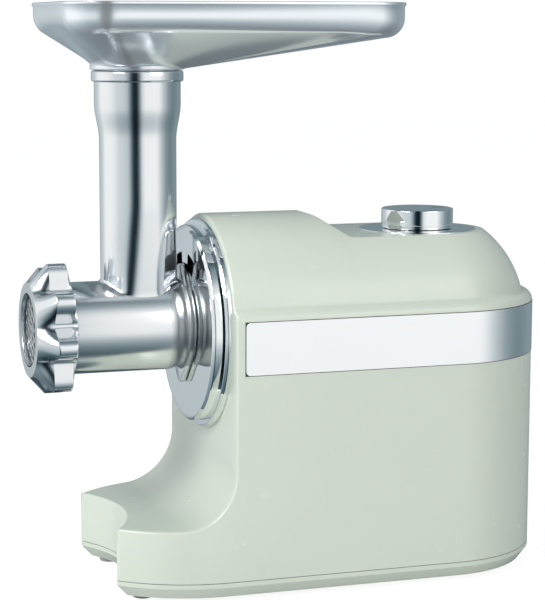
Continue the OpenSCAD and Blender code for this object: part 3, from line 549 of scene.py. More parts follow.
# The bright disc in the deck.
DISC_R = 41.0
DISC_BORE = 4.0
DISC_Z = (DECK_Z - 0.7, DECK_Z + 0.5)
# The dark strip that shows as a line round the band: a painted shadow of the groove there.
SHADOW_STRIP_GAP = 0.45
SHADOW_STRIP_PROUD = 0.08
SHADOW_STRIP_X = -54.1
# Corners of turned rings: place along the axis, radius, rounding.
BEZEL = [(-59.3, 58.0, 0), (-59.3, 72.0, 0.3), (-62.6, 72.0, 1.6), (-64.5, 70.6, 0.8), (-64.5, 58.0, 0)]
FRONT = [(-64.3, 58.5, 0), (-64.3, 67.5, 0.2), (-70.4, 67.4, 1.5), (-72.2, 65.2, 1.0),
         (-72.2, 64.5, 0.2), (-71.6, 64.4, 0), (-68.8, 64.4, 0), (-68.8, 58.5, 0)]
DISC = [(DISC_Z[1], DISC_R, 0.3), (DISC_Z[1], DISC_BORE, 0), (DISC_Z[0], DISC_BORE, 0),
        (DISC_Z[0], DISC_R, 0)]


def ring_skin(corners, axis, centre):
    """Ring turned from a closed row of rounded corners."""
    return turned_skin(rounded(corners, 6), axis, centre, TRIM_SIDES)


def knob_skin():
    """Hollow knob with a flat top."""
    corners = [(KNOB_TOP, 0.0, 0), (KNOB_TOP, KNOB_FLAT_R, 0), (KNOB_TOP, KNOB_R, 0.9), (KNOB_Z, KNOB_R, 0.3),
               (KNOB_Z, KNOB_INNER_R, 0), (KNOB_ROOF_Z, KNOB_INNER_R, 0), (KNOB_ROOF_Z, 0.0, 0)]
    return turned_skin(rounded(corners, 6, closed=False), "Z", (KNOB_X, 0.0), TRIM_SIDES, closed=False)


def band_shadow_strip_skin():
    """Dark strip just proud of the housing, behind the edges of the band, painting the shadow of the groove
    round it.
    """
    y = SIDE_Y + SHADOW_STRIP_PROUD
    path = [(x, y) for x in (SHADOW_STRIP_X, 0.0, DOME_X)]
    path += [(DOME_X + y * math.sin(a), y * math.cos(a)) for a in spread(0, math.pi / 2, 30)[1:]]
    skin = Skin()
    skin.grid([[(x, y, z) for z in (BAND_Z[0] - SHADOW_STRIP_GAP, BAND_Z[1] + SHADOW_STRIP_GAP)] for x, y in path])
    skin.mirror()
    return skin


def mark_skin():
    """Slim pointer bar let into the knob's top."""
    shape = rounded([(MARK_X[0], -MARK_HALF, MARK_END_R), (MARK_X[1], -MARK_HALF, MARK_END_R),
                     (MARK_X[1], MARK_HALF, MARK_END_R), (MARK_X[0], MARK_HALF, MARK_END_R)], 4)
    middle = Vector((sum(MARK_X) / 2, 0))
    rows = []
    for size, rise in ((1.0, -0.6), (1.0, 0.02), (0.9, 0.06), (0.02, 0.06)):
        z = KNOB_TOP + rise
        rows.append([(KNOB_X + (middle + (p - middle) * size).x, (p * size).y, z) for p in shape])
    return grid_skin(rows, along=False)


# ---------- ring nut ----------

# The turned outline: mouth rim, cone, widest part and the slant at the rear.
NUT_X = (-181.5, -154.5)
NUT_R = 46.0
NUT_RIM_R = 31.8
NUT_CONE = 12.4
NUT_SLANT = 2.7
NUT_SAMPLES = 480
# The stepped bore: mouth, seat of the plate, thread.
NUT_MOUTH_R = 23.5
NUT_SEAT_R = 27.0
NUT_SEAT_X = -178.8
NUT_THREAD_R = 29.6
NUT_THREAD_X = -176.8
# The lobed outline, and how softly it is blended with the turned one.
LOBES = 8
LOBE_TURN = math.radians(11 - 90)
LOBE_MIDDLE_R = 39.4
LOBE_SWING = 6.6
LOBE_FILL = 0.5
BLEND = 0.4


def lobe_radius(a):
    """Radius of the softly lobed outline at angle a."""
    wave = math.cos(LOBES * (a - LOBE_TURN))
    return LOBE_MIDDLE_R + LOBE_SWING * wave + LOBE_FILL * (1 - wave ** 2)


def nut_skin():
    """Ring nut: turned and lobed outlines blended into each other, around the stepped bore."""
    front, rear = NUT_X
    outer = rounded([(front, NUT_MOUTH_R + 0.5, 0), (front, NUT_RIM_R, 1.0), (front + NUT_CONE, NUT_R, 2.0),
                     (rear - NUT_SLANT, NUT_R, 1.6), (rear, NUT_THREAD_R + 4.0, 1.0),
                     (rear, NUT_THREAD_R + 0.6, 0)], 8, closed=False)
    inner = [(rear, NUT_THREAD_R), (NUT_THREAD_X, NUT_THREAD_R), (NUT_THREAD_X, NUT_SEAT_R),
             (NUT_SEAT_X, NUT_SEAT_R), (NUT_SEAT_X, NUT_MOUTH_R)]
    inner += rounded([(NUT_SEAT_X - 0.8, NUT_MOUTH_R, 0), (front, NUT_MOUTH_R, 0.8),
                      (front, NUT_MOUTH_R + 1.4, 0)], 5, closed=False)
    rows = []
    for i in range(NUT_SAMPLES):
        a = 2 * math.pi * i / NUT_SAMPLES
        c, s = math.cos(a), math.sin(a)
        lobe = lobe_radius(a)
        row = []
        for x, r in outer:
            blended = soft_min((r, lobe), BLEND)
            row.append((x, blended * c, AXIS_Z + blended * s))
        row += [(x, r * c, AXIS_Z + r * s) for x, r in inner]
        rows.append(row)
    return grid_skin(rows)


# ---------- grinding head ----------

# The barrel along X, from the thread at the mouth to the spigot in the housing.
BARREL_R = 31.1
BARREL_SIDES = 192
THREAD_X = (-176.5, -154.0)
THREAD_R = 29.5
CHAMBER_X = -83.4
CHAMBER_R = 26.5
NECK_X = (-85.0, -80.8, -77.8)
NECK_R = 29.6
FLANGE_X = (-76.4, -72.2)
FLANGE_R = 31.6
SPIGOT_X = -64.5
SPIGOT_R = 29.3
SPIGOT_BORE = 22.0
JOURNAL_R = 9.05
# The opening under the feed tube.
THROAT_R = 20.5
THROAT_Z = (AXIS_Z + 5, AXIS_Z + 60)
THROAT_SIDES = 96
# The feed tube, its flare and its lip.
TUBE_R = 26.0
TUBE_BORE = 20.4
TUBE_FLARE = 3.1
TUBE_TOP = 349.0
TUBE_SAMPLES = 180
FLARE_Z = (303.0, 327.0)
FLARE_BORE_Z = (306.0, 325.0)
LIP_Z = 341.5
LIP_R = 31.0
MOUTH_BORE = 25.8
WAIST_Z = 250.0
BORE_STEP_Z = 240.0
# The tube grows narrower across the barrel towards its foot.
TUBE_NARROWS = 4.0
NARROW_TOP = AXIS_Z + 84
NARROW_SPAN = 62
# The flats at the tube's foot: direction in degrees, and height above the axis where each ends.
TUBE_FLATS = ((48, 76.0), (-48, 76.0), (140, 54.0), (-140, 54.0))
FLAT_LEAN = math.tan(math.radians(3.6))
FLAT_WIDTH = 0.2
FLAT_FADE = 8
FLATS_END_Z = 290
# The fillet where the tube stands on the barrel, and how far both reach into each other.
FOOT_Z = AXIS_Z + 28
FILLET = 3.0
FILLET_SINK = 0.15
OVERLAP = 2.0
# The lugs on the flange; their sections along X are smaller at both faces for a soft edge.
LUG_TIP_R = 5.0
LUG_TIP_Y = 36.0
LUG_MIDDLE = Vector((0, 30.0))
LUG_SINK = 0.4
LUG_ROWS = ((FLANGE_X[0], 0.0), (FLANGE_X[0], 0.93), (FLANGE_X[0] + 0.2, 0.97), (FLANGE_X[0] + 0.6, 1.0),
            (FLANGE_X[1] - 0.5, 1.0), (FLANGE_X[1] - 0.1, 0.97), (FLANGE_X[1], 0.93), (FLANGE_X[1], 0.0))


def tube_radius(z, a):
    """Outside radius of the feed tube at height z and angle a: round, with leaning flats at the foot."""
    body = TUBE_R + TUBE_FLARE * smooth((z - FLARE_Z[0]) / (FLARE_Z[1] - FLARE_Z[0]))
    body -= TUBE_NARROWS * max(0.0, min(1.0, (NARROW_TOP - z) / NARROW_SPAN)) * math.sin(a) ** 4
    near = [body]
    for turn, top in TUBE_FLATS:
        face = TUBE_R - FLAT_LEAN * (AXIS_Z + top - z)
        lean = math.cos(a - math.radians(turn))
        if lean > FLAT_WIDTH and z < AXIS_Z + top + FLAT_FADE:
            near.append(face / lean)
    return soft_min(near, BLEND) if z < FLATS_END_Z else body


def saddle_z(r, a, wall_r=BARREL_R):
    """Height where an upright tube of radius r meets a barrel of radius wall_r, at angle a."""
    return AXIS_Z + math.sqrt(max(wall_r ** 2 - (r * math.sin(a)) ** 2, 1.0))


def tube_skin():
    """Feed tube from its fillet on the barrel up to the lip, then down its bore."""
    lip = rounded([(LIP_Z, TUBE_R + TUBE_FLARE, 1.2), (LIP_Z + 0.3, LIP_R, 1.6), (TUBE_TOP, LIP_R, 1.6),
                   (TUBE_TOP, MOUTH_BORE, 0.8)], 6, closed=False)
    lip = lip[:-1] + [Vector((TUBE_TOP, MOUTH_BORE + 0.5))]
    rows = []
    for i in range(TUBE_SAMPLES):
        a = 2 * math.pi * i / TUBE_SAMPLES
        foot_r = tube_radius(FOOT_Z, a)
        spread_r = foot_r + FILLET
        base = saddle_z(spread_r, a) - FILLET_SINK
        climb = saddle_z(spread_r, a, BARREL_R + FILLET) - saddle_z(spread_r, a)
        line = []
        for b in spread(0, math.pi / 2, 6):
            z = base + climb * (1 - math.cos(b))
            line.append((z, tube_radius(z, a) + FILLET * (1 - math.sin(b))))
        for low, high, count in ((line[-1][0], WAIST_Z, 16), (WAIST_Z, FLARE_Z[0], 12), (*FLARE_Z, 8)):
            line += [(z, tube_radius(z, a)) for z in spread(low, high, count)[1:]]
        line += [(p.x, p.y) for p in lip]
        line += [(TUBE_TOP - 0.8, MOUTH_BORE), (FLARE_BORE_Z[1], MOUTH_BORE), (FLARE_BORE_Z[0], TUBE_BORE),
                 (BORE_STEP_Z, TUBE_BORE), (saddle_z(TUBE_BORE, a) - OVERLAP, TUBE_BORE),
                 (saddle_z(spread_r, a) - OVERLAP, spread_r)]
        rows.append([(TUBE_X + r * math.cos(a), r * math.sin(a), z) for z, r in line])
    return grid_skin(rows)


def barrel_skin():
    """Barrel with its thread zone, neck groove, flange, journal and chamber."""
    corners = [(THREAD_X[0], CHAMBER_R, 0.5), (THREAD_X[0], THREAD_R, 0.8), (THREAD_X[1], THREAD_R, 0),
               (THREAD_X[1], BARREL_R, 0.6), (NECK_X[0], BARREL_R, 8.0), (NECK_X[1], NECK_R, 6.0),
               (NECK_X[2], NECK_R, 1.0), (FLANGE_X[0], FLANGE_R, 1.3), (FLANGE_X[1], FLANGE_R, 1.9),
               (FLANGE_X[1], SPIGOT_R, 0), (SPIGOT_X, SPIGOT_R, 0.5), (SPIGOT_X, SPIGOT_BORE, 0),
               (FLANGE_X[0], SPIGOT_BORE, 0), (FLANGE_X[0], JOURNAL_R, 0), (CHAMBER_X, JOURNAL_R, 0),
               (CHAMBER_X, CHAMBER_R, 0)]
    return turned_skin(rounded(corners, 4), "X", (0.0, AXIS_Z), BARREL_SIDES)


def throat_skin():
    """Solid that opens the barrel under the feed tube."""
    low, high = THROAT_Z
    profile = ((low, 0.0), (low, THROAT_R), (high, THROAT_R), (high, 0.0))
    return turned_skin(profile, "Z", (TUBE_X, 0.0), THROAT_SIDES, closed=False)


def lug_skin(way):
    """Tapered lug with softened edges on the flange, up (1) or down (-1)."""
    turn = math.acos((BARREL_R - LUG_TIP_R) / LUG_TIP_Y)
    shape = [Vector((LUG_TIP_R * math.sin(a), LUG_TIP_Y + LUG_TIP_R * math.cos(a)))
             for a in spread(-turn, turn, 16)]
    side, root = BARREL_R * math.sin(turn) - LUG_SINK, BARREL_R * math.cos(turn) - LUG_SINK
    shape += [Vector((side, root)), Vector((-side, root))]
    rows = []
    for x, size in LUG_ROWS:
        section = [LUG_MIDDLE + (p - LUG_MIDDLE) * size for p in shape]
        rows.append([(x, p.x, AXIS_Z + way * p.y) for p in section])
    return grid_skin(rows, along=False)


# ---------- hopper tray ----------

TRAY_X = (-166.5, 69.5)
TRAY_Y = 75.0
TRAY_TOP = 394.0
TRAY_FOOT = 349.5
TRAY_T = 1.4
TRAY_CORNER = 33.0
CORNER_STEPS = 14
SIDE_STEPS = (14, 10)
WALL_IN = 1.0
# The sloping bottom: it leaves the throat and comes near BOWL_Z a little before the wall.
BOWL_THROAT_R = 27.4
BOWL_Z = 370.5
BOWL_TOP_Z = 382.0
BOWL_ROUND = 13.0
WALL_MARGIN = 12.0
LEAST_RUN = 12.0
# The rolled rim: places beyond the wall and above the tray's top.
RIM_ROLL = ((0.0, -3.0), (0.8, -2.2), (1.0, -1.4), (0.8, -0.4), (0.0, 0.0), (-0.84, -0.1))
# Corners of the collar that sits in the tube: height, radius, rounding.
COLLAR = [(TRAY_FOOT - 12.0, 23.8, 0.3), (TRAY_FOOT - 12.0, 25.3, 0.5), (TRAY_FOOT, 25.3, 0.2),
          (TRAY_FOOT, 31.8, 1.0), (TRAY_FOOT + 3.4, 31.8, 1.4), (TRAY_FOOT + 4.6, 29.0, 0.5),
          (TRAY_FOOT + 1.4, 23.8, 0.6)]


def round_rect_points(inset):
    """Points round the tray's outline, in order, set in from its rim."""
    x0, x1, half = TRAY_X[0] + inset, TRAY_X[1] - inset, TRAY_Y - inset
    r = TRAY_CORNER - inset
    centres = ((x1 - r, half - r), (x0 + r, half - r), (x0 + r, r - half), (x1 - r, r - half))
    points = []
    for i, (cx, cy) in enumerate(centres):
        arc = [Vector((cx + r * math.cos(a), cy + r * math.sin(a)))
               for a in spread(i * math.pi / 2, (i + 1) * math.pi / 2, CORNER_STEPS)]
        nx, ny = centres[(i + 1) % 4]
        turn = (i + 1) * math.pi / 2
        after = Vector((nx + r * math.cos(turn), ny + r * math.sin(turn)))
        points += arc + [arc[-1].lerp(after, v) for v in spread(0, 1, SIDE_STEPS[i % 2])[1:-1]]
    return points


def bowl_section(reach, square, inset):
    """Section from the throat to the rim; square is how squarely it meets the wall."""
    run = max(reach - BOWL_THROAT_R - WALL_MARGIN / max(square, 0.5), LEAST_RUN)
    corner_z = TRAY_FOOT + (BOWL_Z - TRAY_FOOT) / run * (reach - BOWL_THROAT_R)
    corners = [(BOWL_THROAT_R - inset * 0.4, TRAY_FOOT + inset, 0),
               (reach - inset, min(corner_z, BOWL_TOP_Z) + inset * 0.6, max(BOWL_ROUND - inset, 4.0)),
               (reach - inset, TRAY_TOP - 0.6, 0)]
    return rounded(corners, 10, closed=False)


def tray_skin():
    """Sheet bowl: outside, rolled rim and inside, open at the throat."""
    middle = Vector((TUBE_X, 0))
    rows = []
    for edge, p in zip(round_rect_points(0.0), round_rect_points(WALL_IN)):
        reach = (p - middle).length
        out = (p - middle).normalized()
        square = out.dot((edge - p).normalized())
        line = bowl_section(reach, square, 0.0)[:-1]
        line += [(reach + beyond, TRAY_TOP + up) for beyond, up in RIM_ROLL]
        line += reversed(bowl_section(reach, square, TRAY_T))
        rows.append([(TUBE_X + out.x * d, out.y * d, z) for d, z in line])
    return grid_skin(rows)


# ---------- repeated pieces, by geometry nodes ----------

# The plate's front face, and its rings of holes round the middle.
PLATE_X = -178.5
PLATE_RINGS = 3
FEET_AT = ((-115.5, -47), (-115.5, 47), (135, -50), (135, 50))
SCREWS_AT = ((-51.5, -66), (-51.5, 66), (109, -66), (109, 66))
SCREW_Z = 2.5
FOOT_SIDES = 40
SCREW_SIDES = 36
HOLE_SIDES = 24
EYE_SIDES = 48
PLATE_SIDES = 120
# Sheet left outside the outermost holes, and the thin step under a screw's head.
PLATE_EDGE = 2.4
UNDERCUT = 0.01


class Pattern(Tree):
    """Geometry tree of one repeated piece; its sizes are named inputs, in millimetres."""

    def __init__(self, name, **sizes):
        self.tree = bpy.data.node_groups.new(name, "GeometryNodeTree")
        self.tree.interface.new_socket("Geometry", in_out="OUTPUT", socket_type="NodeSocketGeometry")
        self.lengths = {}
        for label, length in sizes.items():
            socket = self.tree.interface.new_socket(label, in_out="INPUT", socket_type="NodeSocketFloat")
            self.lengths[socket.identifier] = length * MM
        entry = self.tree.nodes.new("NodeGroupInput")
        self.size = {label: Value(self, entry.outputs[label]) for label in sizes}

    def joined(self, shapes):
        """One shape from several."""
        node = self.tree.nodes.new("GeometryNodeJoinGeometry")
        for shape in shapes:
            self.tree.links.new(shape.socket, node.inputs[0])
        return Value(self, node.outputs[0])

    def vector(self, x=0.0, y=0.0, z=0.0):
        """Vector from three values."""
        return self.add("ShaderNodeCombineXYZ", values={0: x, 1: y, 2: z})

    def lifted(self, shape, height):
        """Shape moved up by height."""
        values = {"Geometry": shape, "Translation": self.vector(z=height)}
        return self.add("GeometryNodeTransform", values=values)

    def turned(self, profile, count):
        """Open shell of revolution through (height, radius) pairs."""
        rings = []
        for (z0, r0), (z1, r1) in zip(profile, profile[1:]):
            values = {"Vertices": count, "Radius Bottom": r0, "Radius Top": r1, "Depth": z1 - z0}
            ring = self.add("GeometryNodeMeshCone", {"fill_type": "NONE"}, values)
            rings.append(self.lifted(ring, z0))
        return self.joined(rings)

    def disc(self, radius, height, count):
        """Flat round face."""
        values = {"Vertices": count, "Radius": radius}
        return self.lifted(self.add("GeometryNodeMeshCircle", {"fill_type": "NGON"}, values), height)

    def ring(self, radius, count):
        """Round line."""
        return self.add("GeometryNodeCurvePrimitiveCircle", values={"Resolution": count, "Radius": radius})

    def copies(self, points, shape):
        """Shape at every point."""
        return self.add("GeometryNodeInstanceOnPoints", values={"Points": points, "Instance": shape})

    def at_places(self, places, shape):
        """Shape at each (x, y) place, in millimetres."""
        dots = []
        for x, y in places:
            values = {"Count": 1, "Position": (x * MM, y * MM, 0.0)}
            dots.append(self.add("GeometryNodePoints", values=values))
        return self.copies(self.joined(dots), shape)

    def piece(self, shape, name, body, mat, slot, replaces=(), stand=Matrix(), sharp=32):
        """Grows the shape once and leaves it as a plain mesh, stood in its place."""
        solid = self.add("GeometryNodeRealizeInstances", values={"Geometry": shape})
        coated = self.add("GeometryNodeSetMaterial", values={"Geometry": solid, "Material": mat})
        self.add("NodeGroupOutput", values={0: coated})
        carrier = new_object("carrier", bpy.data.meshes.new("carrier"))
        grow = carrier.modifiers.new("grow", "NODES")
        grow.node_group = self.tree
        for identifier, length in self.lengths.items():
            grow[identifier] = length
        mesh = plain_mesh(carrier)
        bpy.data.objects.remove(carrier)
        mesh.materials.clear()
        mesh.transform(stand)
        return finished(mesh, name, body, mat, replaces, sharp)


def feet_pattern():
    """Four turned feet with a rounded tread edge and a shallow hollow."""
    p = Pattern("feet", Radius=6.9, Height=4.4, Edge=1.0, Hollow=3.2, Depth=0.6)
    radius, height, edge = p.size["Radius"], p.size["Height"], p.size["Edge"]
    hollow, depth = p.size["Hollow"], p.size["Depth"]
    profile = [(depth, hollow * 0.8), (0.0, hollow)]
    for a in spread(0, math.pi / 2, 6):
        profile.append((edge * (1 - math.cos(a)), radius - edge * (1 - math.sin(a))))
    profile.append((height, radius))
    foot = p.joined([p.turned(profile, FOOT_SIDES), p.disc(hollow * 0.8, depth, FOOT_SIDES),
                     p.disc(radius, height, FOOT_SIDES)])
    return p, p.at_places(FEET_AT, foot)


def screws_pattern():
    """Four domed heads with a cross recess, on their shanks."""
    p = Pattern("screws", Head=3.9, Dome=0.9, Rise=2.4, Shank=1.9, Length=24.0, Slot=0.9, Reach=4.6, Sink=1.3)
    head, dome, rise, shank = (p.size[k] for k in ("Head", "Dome", "Rise", "Shank"))
    end = rise + p.size["Length"]
    profile = []
    for a in spread(0, math.pi / 2, 5):
        profile.append((dome * (1 - math.cos(a)), head * (0.3 + 0.7 * math.sin(a))))
    profile += [(rise, head), (rise + UNDERCUT * MM, shank), (end, shank)]
    screw = p.joined([p.turned(profile, SCREW_SIDES), p.disc(head * 0.3, 0.0, SCREW_SIDES),
                      p.disc(shank, end, SCREW_SIDES)])
    screw = p.add("GeometryNodeMergeByDistance", values={"Geometry": screw, "Distance": MERGE})
    for x, y in ((p.size["Reach"], p.size["Slot"]), (p.size["Slot"], p.size["Reach"])):
        bar = p.add("GeometryNodeMeshCube", values={"Size": p.vector(x, y, p.size["Sink"] * 2)})
        screw = p.add("GeometryNodeMeshBoolean", {"operation": "DIFFERENCE", "solver": "EXACT"},
                      {"Mesh 1": screw, "Mesh 2": bar})
    return p, p.at_places(SCREWS_AT, screw)


def perforated_pattern():
    """Round plate with countersunk holes on a three-way grid and a plain centre hole."""
    p = Pattern("perforated plate", Radius=26.2, Thickness=5.0, Centre=4.1, Pitch=6.6, Hole=2.15, Bevel=0.35)
    radius, thick, centre, pitch, hole, bevel = (
        p.size[k] for k in ("Radius", "Thickness", "Centre", "Pitch", "Hole", "Bevel"))
    across, count = pitch * (2 * PLATE_RINGS), 2 * PLATE_RINGS + 1
    grid = p.add("GeometryNodeMeshGrid",
                 values={"Size X": across, "Size Y": across, "Vertices X": count, "Vertices Y": count})
    x, y, z = p.parts(p.add("GeometryNodeInputPosition"))
    slanted = p.vector(x + y * 0.5, y * (math.sqrt(3) / 2), z)
    grid = p.add("GeometryNodeSetPosition", values={"Geometry": grid, "Position": slanted})
    place = p.add("GeometryNodeInputPosition")
    from_centre = p.add("ShaderNodeVectorMath", {"operation": "LENGTH"}, {0: place}, out="Value")
    inside = from_centre.math("LESS_THAN", centre + hole)
    outside = from_centre.math("GREATER_THAN", radius - hole - PLATE_EDGE * MM)
    grid = p.add("GeometryNodeDeleteGeometry", {"domain": "POINT"},
                 {"Geometry": grid, "Selection": inside + outside})
    holes = p.copies(grid, p.ring(hole + bevel, HOLE_SIDES))
    lines = p.joined([p.ring(radius - bevel, PLATE_SIDES), p.ring(centre + bevel, EYE_SIDES), holes])
    lines = p.add("GeometryNodeRealizeInstances", values={"Geometry": lines})
    face = p.add("GeometryNodeFillCurve", {"mode": "NGONS"}, {"Curve": lines})
    wall = [(0.0, hole + bevel), (bevel, hole), (thick - bevel, hole), (thick, hole + bevel)]
    walls = p.copies(grid, p.turned(wall, HOLE_SIDES))
    rim = [(0.0, radius - bevel), (bevel, radius), (thick - bevel, radius), (thick, radius - bevel)]
    eye = [(0.0, centre + bevel), (bevel, centre), (thick - bevel, centre), (thick, centre + bevel)]
    return p, p.joined([face, p.lifted(face, thick), walls, p.turned(rim, PLATE_SIDES),
                        p.turned(eye, EYE_SIDES)])


# ---------- finishes ----------

CREAM = (0.618, 0.672, 0.58)
ALUMINIUM = (0.84, 0.86, 0.875)
BROAD_SWING = 0.04
DULL_ROUGH = 0.15
# Waves of the winding's wires and of the core's sheets, in radians to the metre.
WIRES = 5200.0
SHEETS = 9000.0
WIRE_DEPTH = 1e-4
SHEET_DEPTH = 8e-5


def metal(name, colour, rough, stretch, swing=0.05, grain=8e-7, tone=0.03, metallic=1.0, painted_shade_span=None):
    """Metal with a fine directional grain: stretch is small along the grain.

    The last argument gives the X places between which it turns rougher and is painted darker as shade, and
    how dark that painted shade is.
    """
    mat, t = material(name)
    place = t.place()
    lines = t.noise(t.scaled(place, stretch), 1.0, 3, 0.6)
    broad = t.noise(place, 14.0, 2)
    values = {
        "Base Color": t.mix(broad, rgba(colour, 1 - tone), rgba(colour, 1 + tone)),
        "Metallic": metallic,
        "Roughness": rough + swing * (lines - 0.5) + BROAD_SWING * (broad - 0.5),
        "Normal": t.bump(lines, grain),
    }
    # Painted shade: darker colour between the given X places; the extra roughness there is real.
    if painted_shade_span:
        start, end, shade_tone = painted_shade_span
        painted_shade = t.rise(t.parts(place)[0], start, end)
        values["Base Color"] = t.mix(painted_shade, values["Base Color"], rgba(colour, shade_tone))
        values["Roughness"] = values["Roughness"] + DULL_ROUGH * painted_shade
    finish_material(t, values)
    return mat


def copper_wire(name):
    """Varnished winding: fine parallel wires."""
    mat, t = material(name)
    x, _, z = t.parts(t.place())
    wires = ((x + z) * WIRES).math("SINE")
    values = {
        "Base Color": t.mix(0.5 + 0.5 * wires, (0.22, 0.07, 0.025, 1), (0.5, 0.19, 0.07, 1)),
        "Roughness": 0.35 + 0.05 * wires,
        "Metallic": 0.6,
        "Normal": t.bump(wires, WIRE_DEPTH),
    }
    finish_material(t, values)
    return mat


def stacked_steel(name):
    """Core of thin sheets stacked along X."""
    mat, t = material(name)
    sheets = (t.parts(t.place())[0] * SHEETS).math("SINE")
    values = {
        "Base Color": t.mix(0.5 + 0.5 * sheets, (0.16, 0.16, 0.17, 1), (0.3, 0.3, 0.31, 1)),
        "Roughness": 0.45 + 0.05 * sheets,
        "Metallic": 0.8,
        "Normal": t.bump(sheets, SHEET_DEPTH),
    }
    finish_material(t, values)
    return mat


cream = moulded("cream gloss plastic", CREAM, 0.24, coat=0.3, cloud=0.008)
cast = metal("polished cast aluminium", (0.83, 0.845, 0.86), 0.2, (300, 60, 60))
# The barrel from its neck groove back to the housing is painted darker as shade.
turned = metal("turned cast aluminium", ALUMINIUM, 0.2, (40, 700, 700), 0.1, 3e-6,
               painted_shade_span=(-0.091, -0.085, 0.62))
upright = metal("polished tube aluminium", ALUMINIUM, 0.14, (700, 700, 30), 0.08, 2.5e-6)
nut_metal = metal("satin ring nut aluminium", (0.8, 0.825, 0.845), 0.17, (60, 260, 260))
steel = metal("satin tray steel", (0.83, 0.87, 0.9), 0.15, (25, 500, 500), 0.08, 2e-6, metallic=0.75)
chrome = mirror_metal("mirror chrome", (0.87, 0.895, 0.91))
brushed = metal("brushed silver band", (0.94, 0.955, 0.97), 0.2, (40, 40, 1400), 0.08)
ground = metal("ground cutting steel", (0.56, 0.57, 0.585), 0.28, (300, 300, 90))
# The hole walls behind the plate's front face are painted darker as shade.
plate_steel = metal("ground plate steel", (0.6, 0.61, 0.625), 0.28, (300, 300, 90),
                    painted_shade_span=(-0.1783, -0.1774, 0.12))
gear = metal("oiled gear steel", (0.42, 0.43, 0.45), 0.32, (300, 300, 90))
bronze = metal("sintered bronze", (0.52, 0.36, 0.19), 0.42, (200, 200, 200))
zinc = metal("zinc case metal", (0.5, 0.51, 0.53), 0.38, (200, 200, 200), tone=0.06)
winding = copper_wire("varnished copper winding")
core = stacked_steel("stacked core steel")
dark = moulded("dark plastic", (0.035, 0.035, 0.038), 0.42, cloud=0.1)
nylon = moulded("white nylon", (0.62, 0.61, 0.57), 0.45)
board = moulded("green board", (0.03, 0.14, 0.06), 0.4, cloud=0.15)
rubber = moulded("grey rubber", (0.3, 0.31, 0.3), 0.7, cloud=0.06)
carbon = moulded("carbon block", (0.03, 0.03, 0.03), 0.6, cloud=0.2)

FINISHES = {
    "cream_plastic": cream, "cast_aluminium": cast, "tray_steel": steel, "chrome_trim": chrome,
    "band_silver": brushed, "cutting_steel": ground, "gear_steel": gear, "bronze": bronze, "lamination": core,
    "winding": winding, "dark_plastic": dark, "white_nylon": nylon, "case_metal": zinc, "board_green": board,
    "foot_rubber": rubber, "carbon": carbon,
}


# ---------- assembly ----------

SLOT_OF = {part["node"]: part["material_slot"] for part in frame["record"]["subparts"]}
for node_name, node in frame["nodes"].items():
    node.data.materials.clear()
    node.data.materials.append(FINISHES[SLOT_OF[node_name]])

housing_skin().piece("housing_shell", "machine", cream, "cream_plastic", ("housing",), sharp=40)

ring_skin(BEZEL, "X", (0.0, AXIS_Z)).piece("bezel_trim", "machine", chrome, "chrome_trim", ("bezel_ring",))
ring_skin(FRONT, "X", (0.0, AXIS_Z)).piece("front_trim", "machine", chrome, "chrome_trim", ("front_ring",))
# The shadow of the band's groove is painted as a dark strip.
band_shadow_strip_skin().piece("band_shadow_strip", "machine", dark, "dark_plastic")
ring_skin(DISC, "Z", (KNOB_X, 0.0)).piece("deck_disc", "machine", chrome, "chrome_trim", ("knob_disc",))
knob_skin().piece("knob_cap", "knob", chrome, "chrome_trim", ("control_knob",))
mark_skin().piece("knob_mark", "knob", dark, "dark_plastic")

nut_skin().piece("ring_nut_body", "nut", nut_metal, "cast_aluminium", ("ring_nut",), sharp=50)
pattern, shape = perforated_pattern()
stand = Matrix.Translation((PLATE_X * MM, 0, AXIS_Z * MM)) @ Matrix.Rotation(math.pi / 2, 4, "Y")
pattern.piece(shape, "perforated_plate", "head", plate_steel, "cutting_steel", ("cutting_plate",), stand)
pattern, shape = feet_pattern()
pattern.piece(shape, "feet", "machine", rubber, "foot_rubber", ("rubber_feet",))
pattern, shape = screws_pattern()
stand = Matrix.Translation((0, 0, SCREW_Z * MM))
pattern.piece(shape, "bottom_screws", "machine", gear, "gear_steel", ("base_screws",), stand)

barrel = barrel_skin().piece("barrel", "head", turned, "cast_aluminium", ("grinder_head",), sharp=40)
cut(barrel, throat_skin(), "bore tool", cream)
tube_skin().piece("feed_tube", "head", upright, "cast_aluminium", sharp=55)
for way, word in ((1, "upper"), (-1, "lower")):
    lug_skin(way).piece(word + "_lug", "head", cast, "cast_aluminium", sharp=40)
tray_skin().piece("tray_bowl", "tray", steel, "tray_steel", ("hopper_tray",), sharp=45)
ring_skin(COLLAR, "Z", (TUBE_X, 0.0)).piece("tray_collar", "tray", steel, "tray_steel")


# ---------- studio ----------

def stops(levels, span):
    """Ramp stops from (degrees, brightness); darker stops lean to blue."""
    half = span / 2
    return [((degrees + half) / span, (v ** 1.3, v ** 1.08, v, 1.0)) for degrees, v in levels]


# Brightness of the walls round the machine, then by height, in degrees.
WALL_STOPS = stops([(-180, 0.4), (-168, 0.6), (-146, 0.7), (-128, 1.0), (-100, 1.0), (-86, 0.92),
                    (-71, 0.76), (-57, 0.72), (-44, 0.66), (-37, 0.42), (-30, 0.1), (-24, 0.02),
                    (-15, 0.02), (-9, 0.25), (-2, 0.8), (8, 1.0), (44, 1.0), (60, 0.64), (77, 0.36),
                    (96, 0.26), (125, 0.34), (150, 0.3), (168, 0.28), (180, 0.4)], 360)
HEIGHT_STOPS = stops([(-90, 0.5), (-75, 0.5), (-67, 0.14), (-61, 0.13), (-53, 0.19), (-42, 0.3),
                      (-33, 0.42), (-23, 0.63), (-14, 0.9), (-9, 1.0), (34, 1.0), (45, 0.8), (55, 0.45),
                      (65, 0.3), (72, 0.14), (80, 0.4), (90, 0.5)], 180)
DIFFUSE_WALLS = (0.6, 0.61, 0.63)
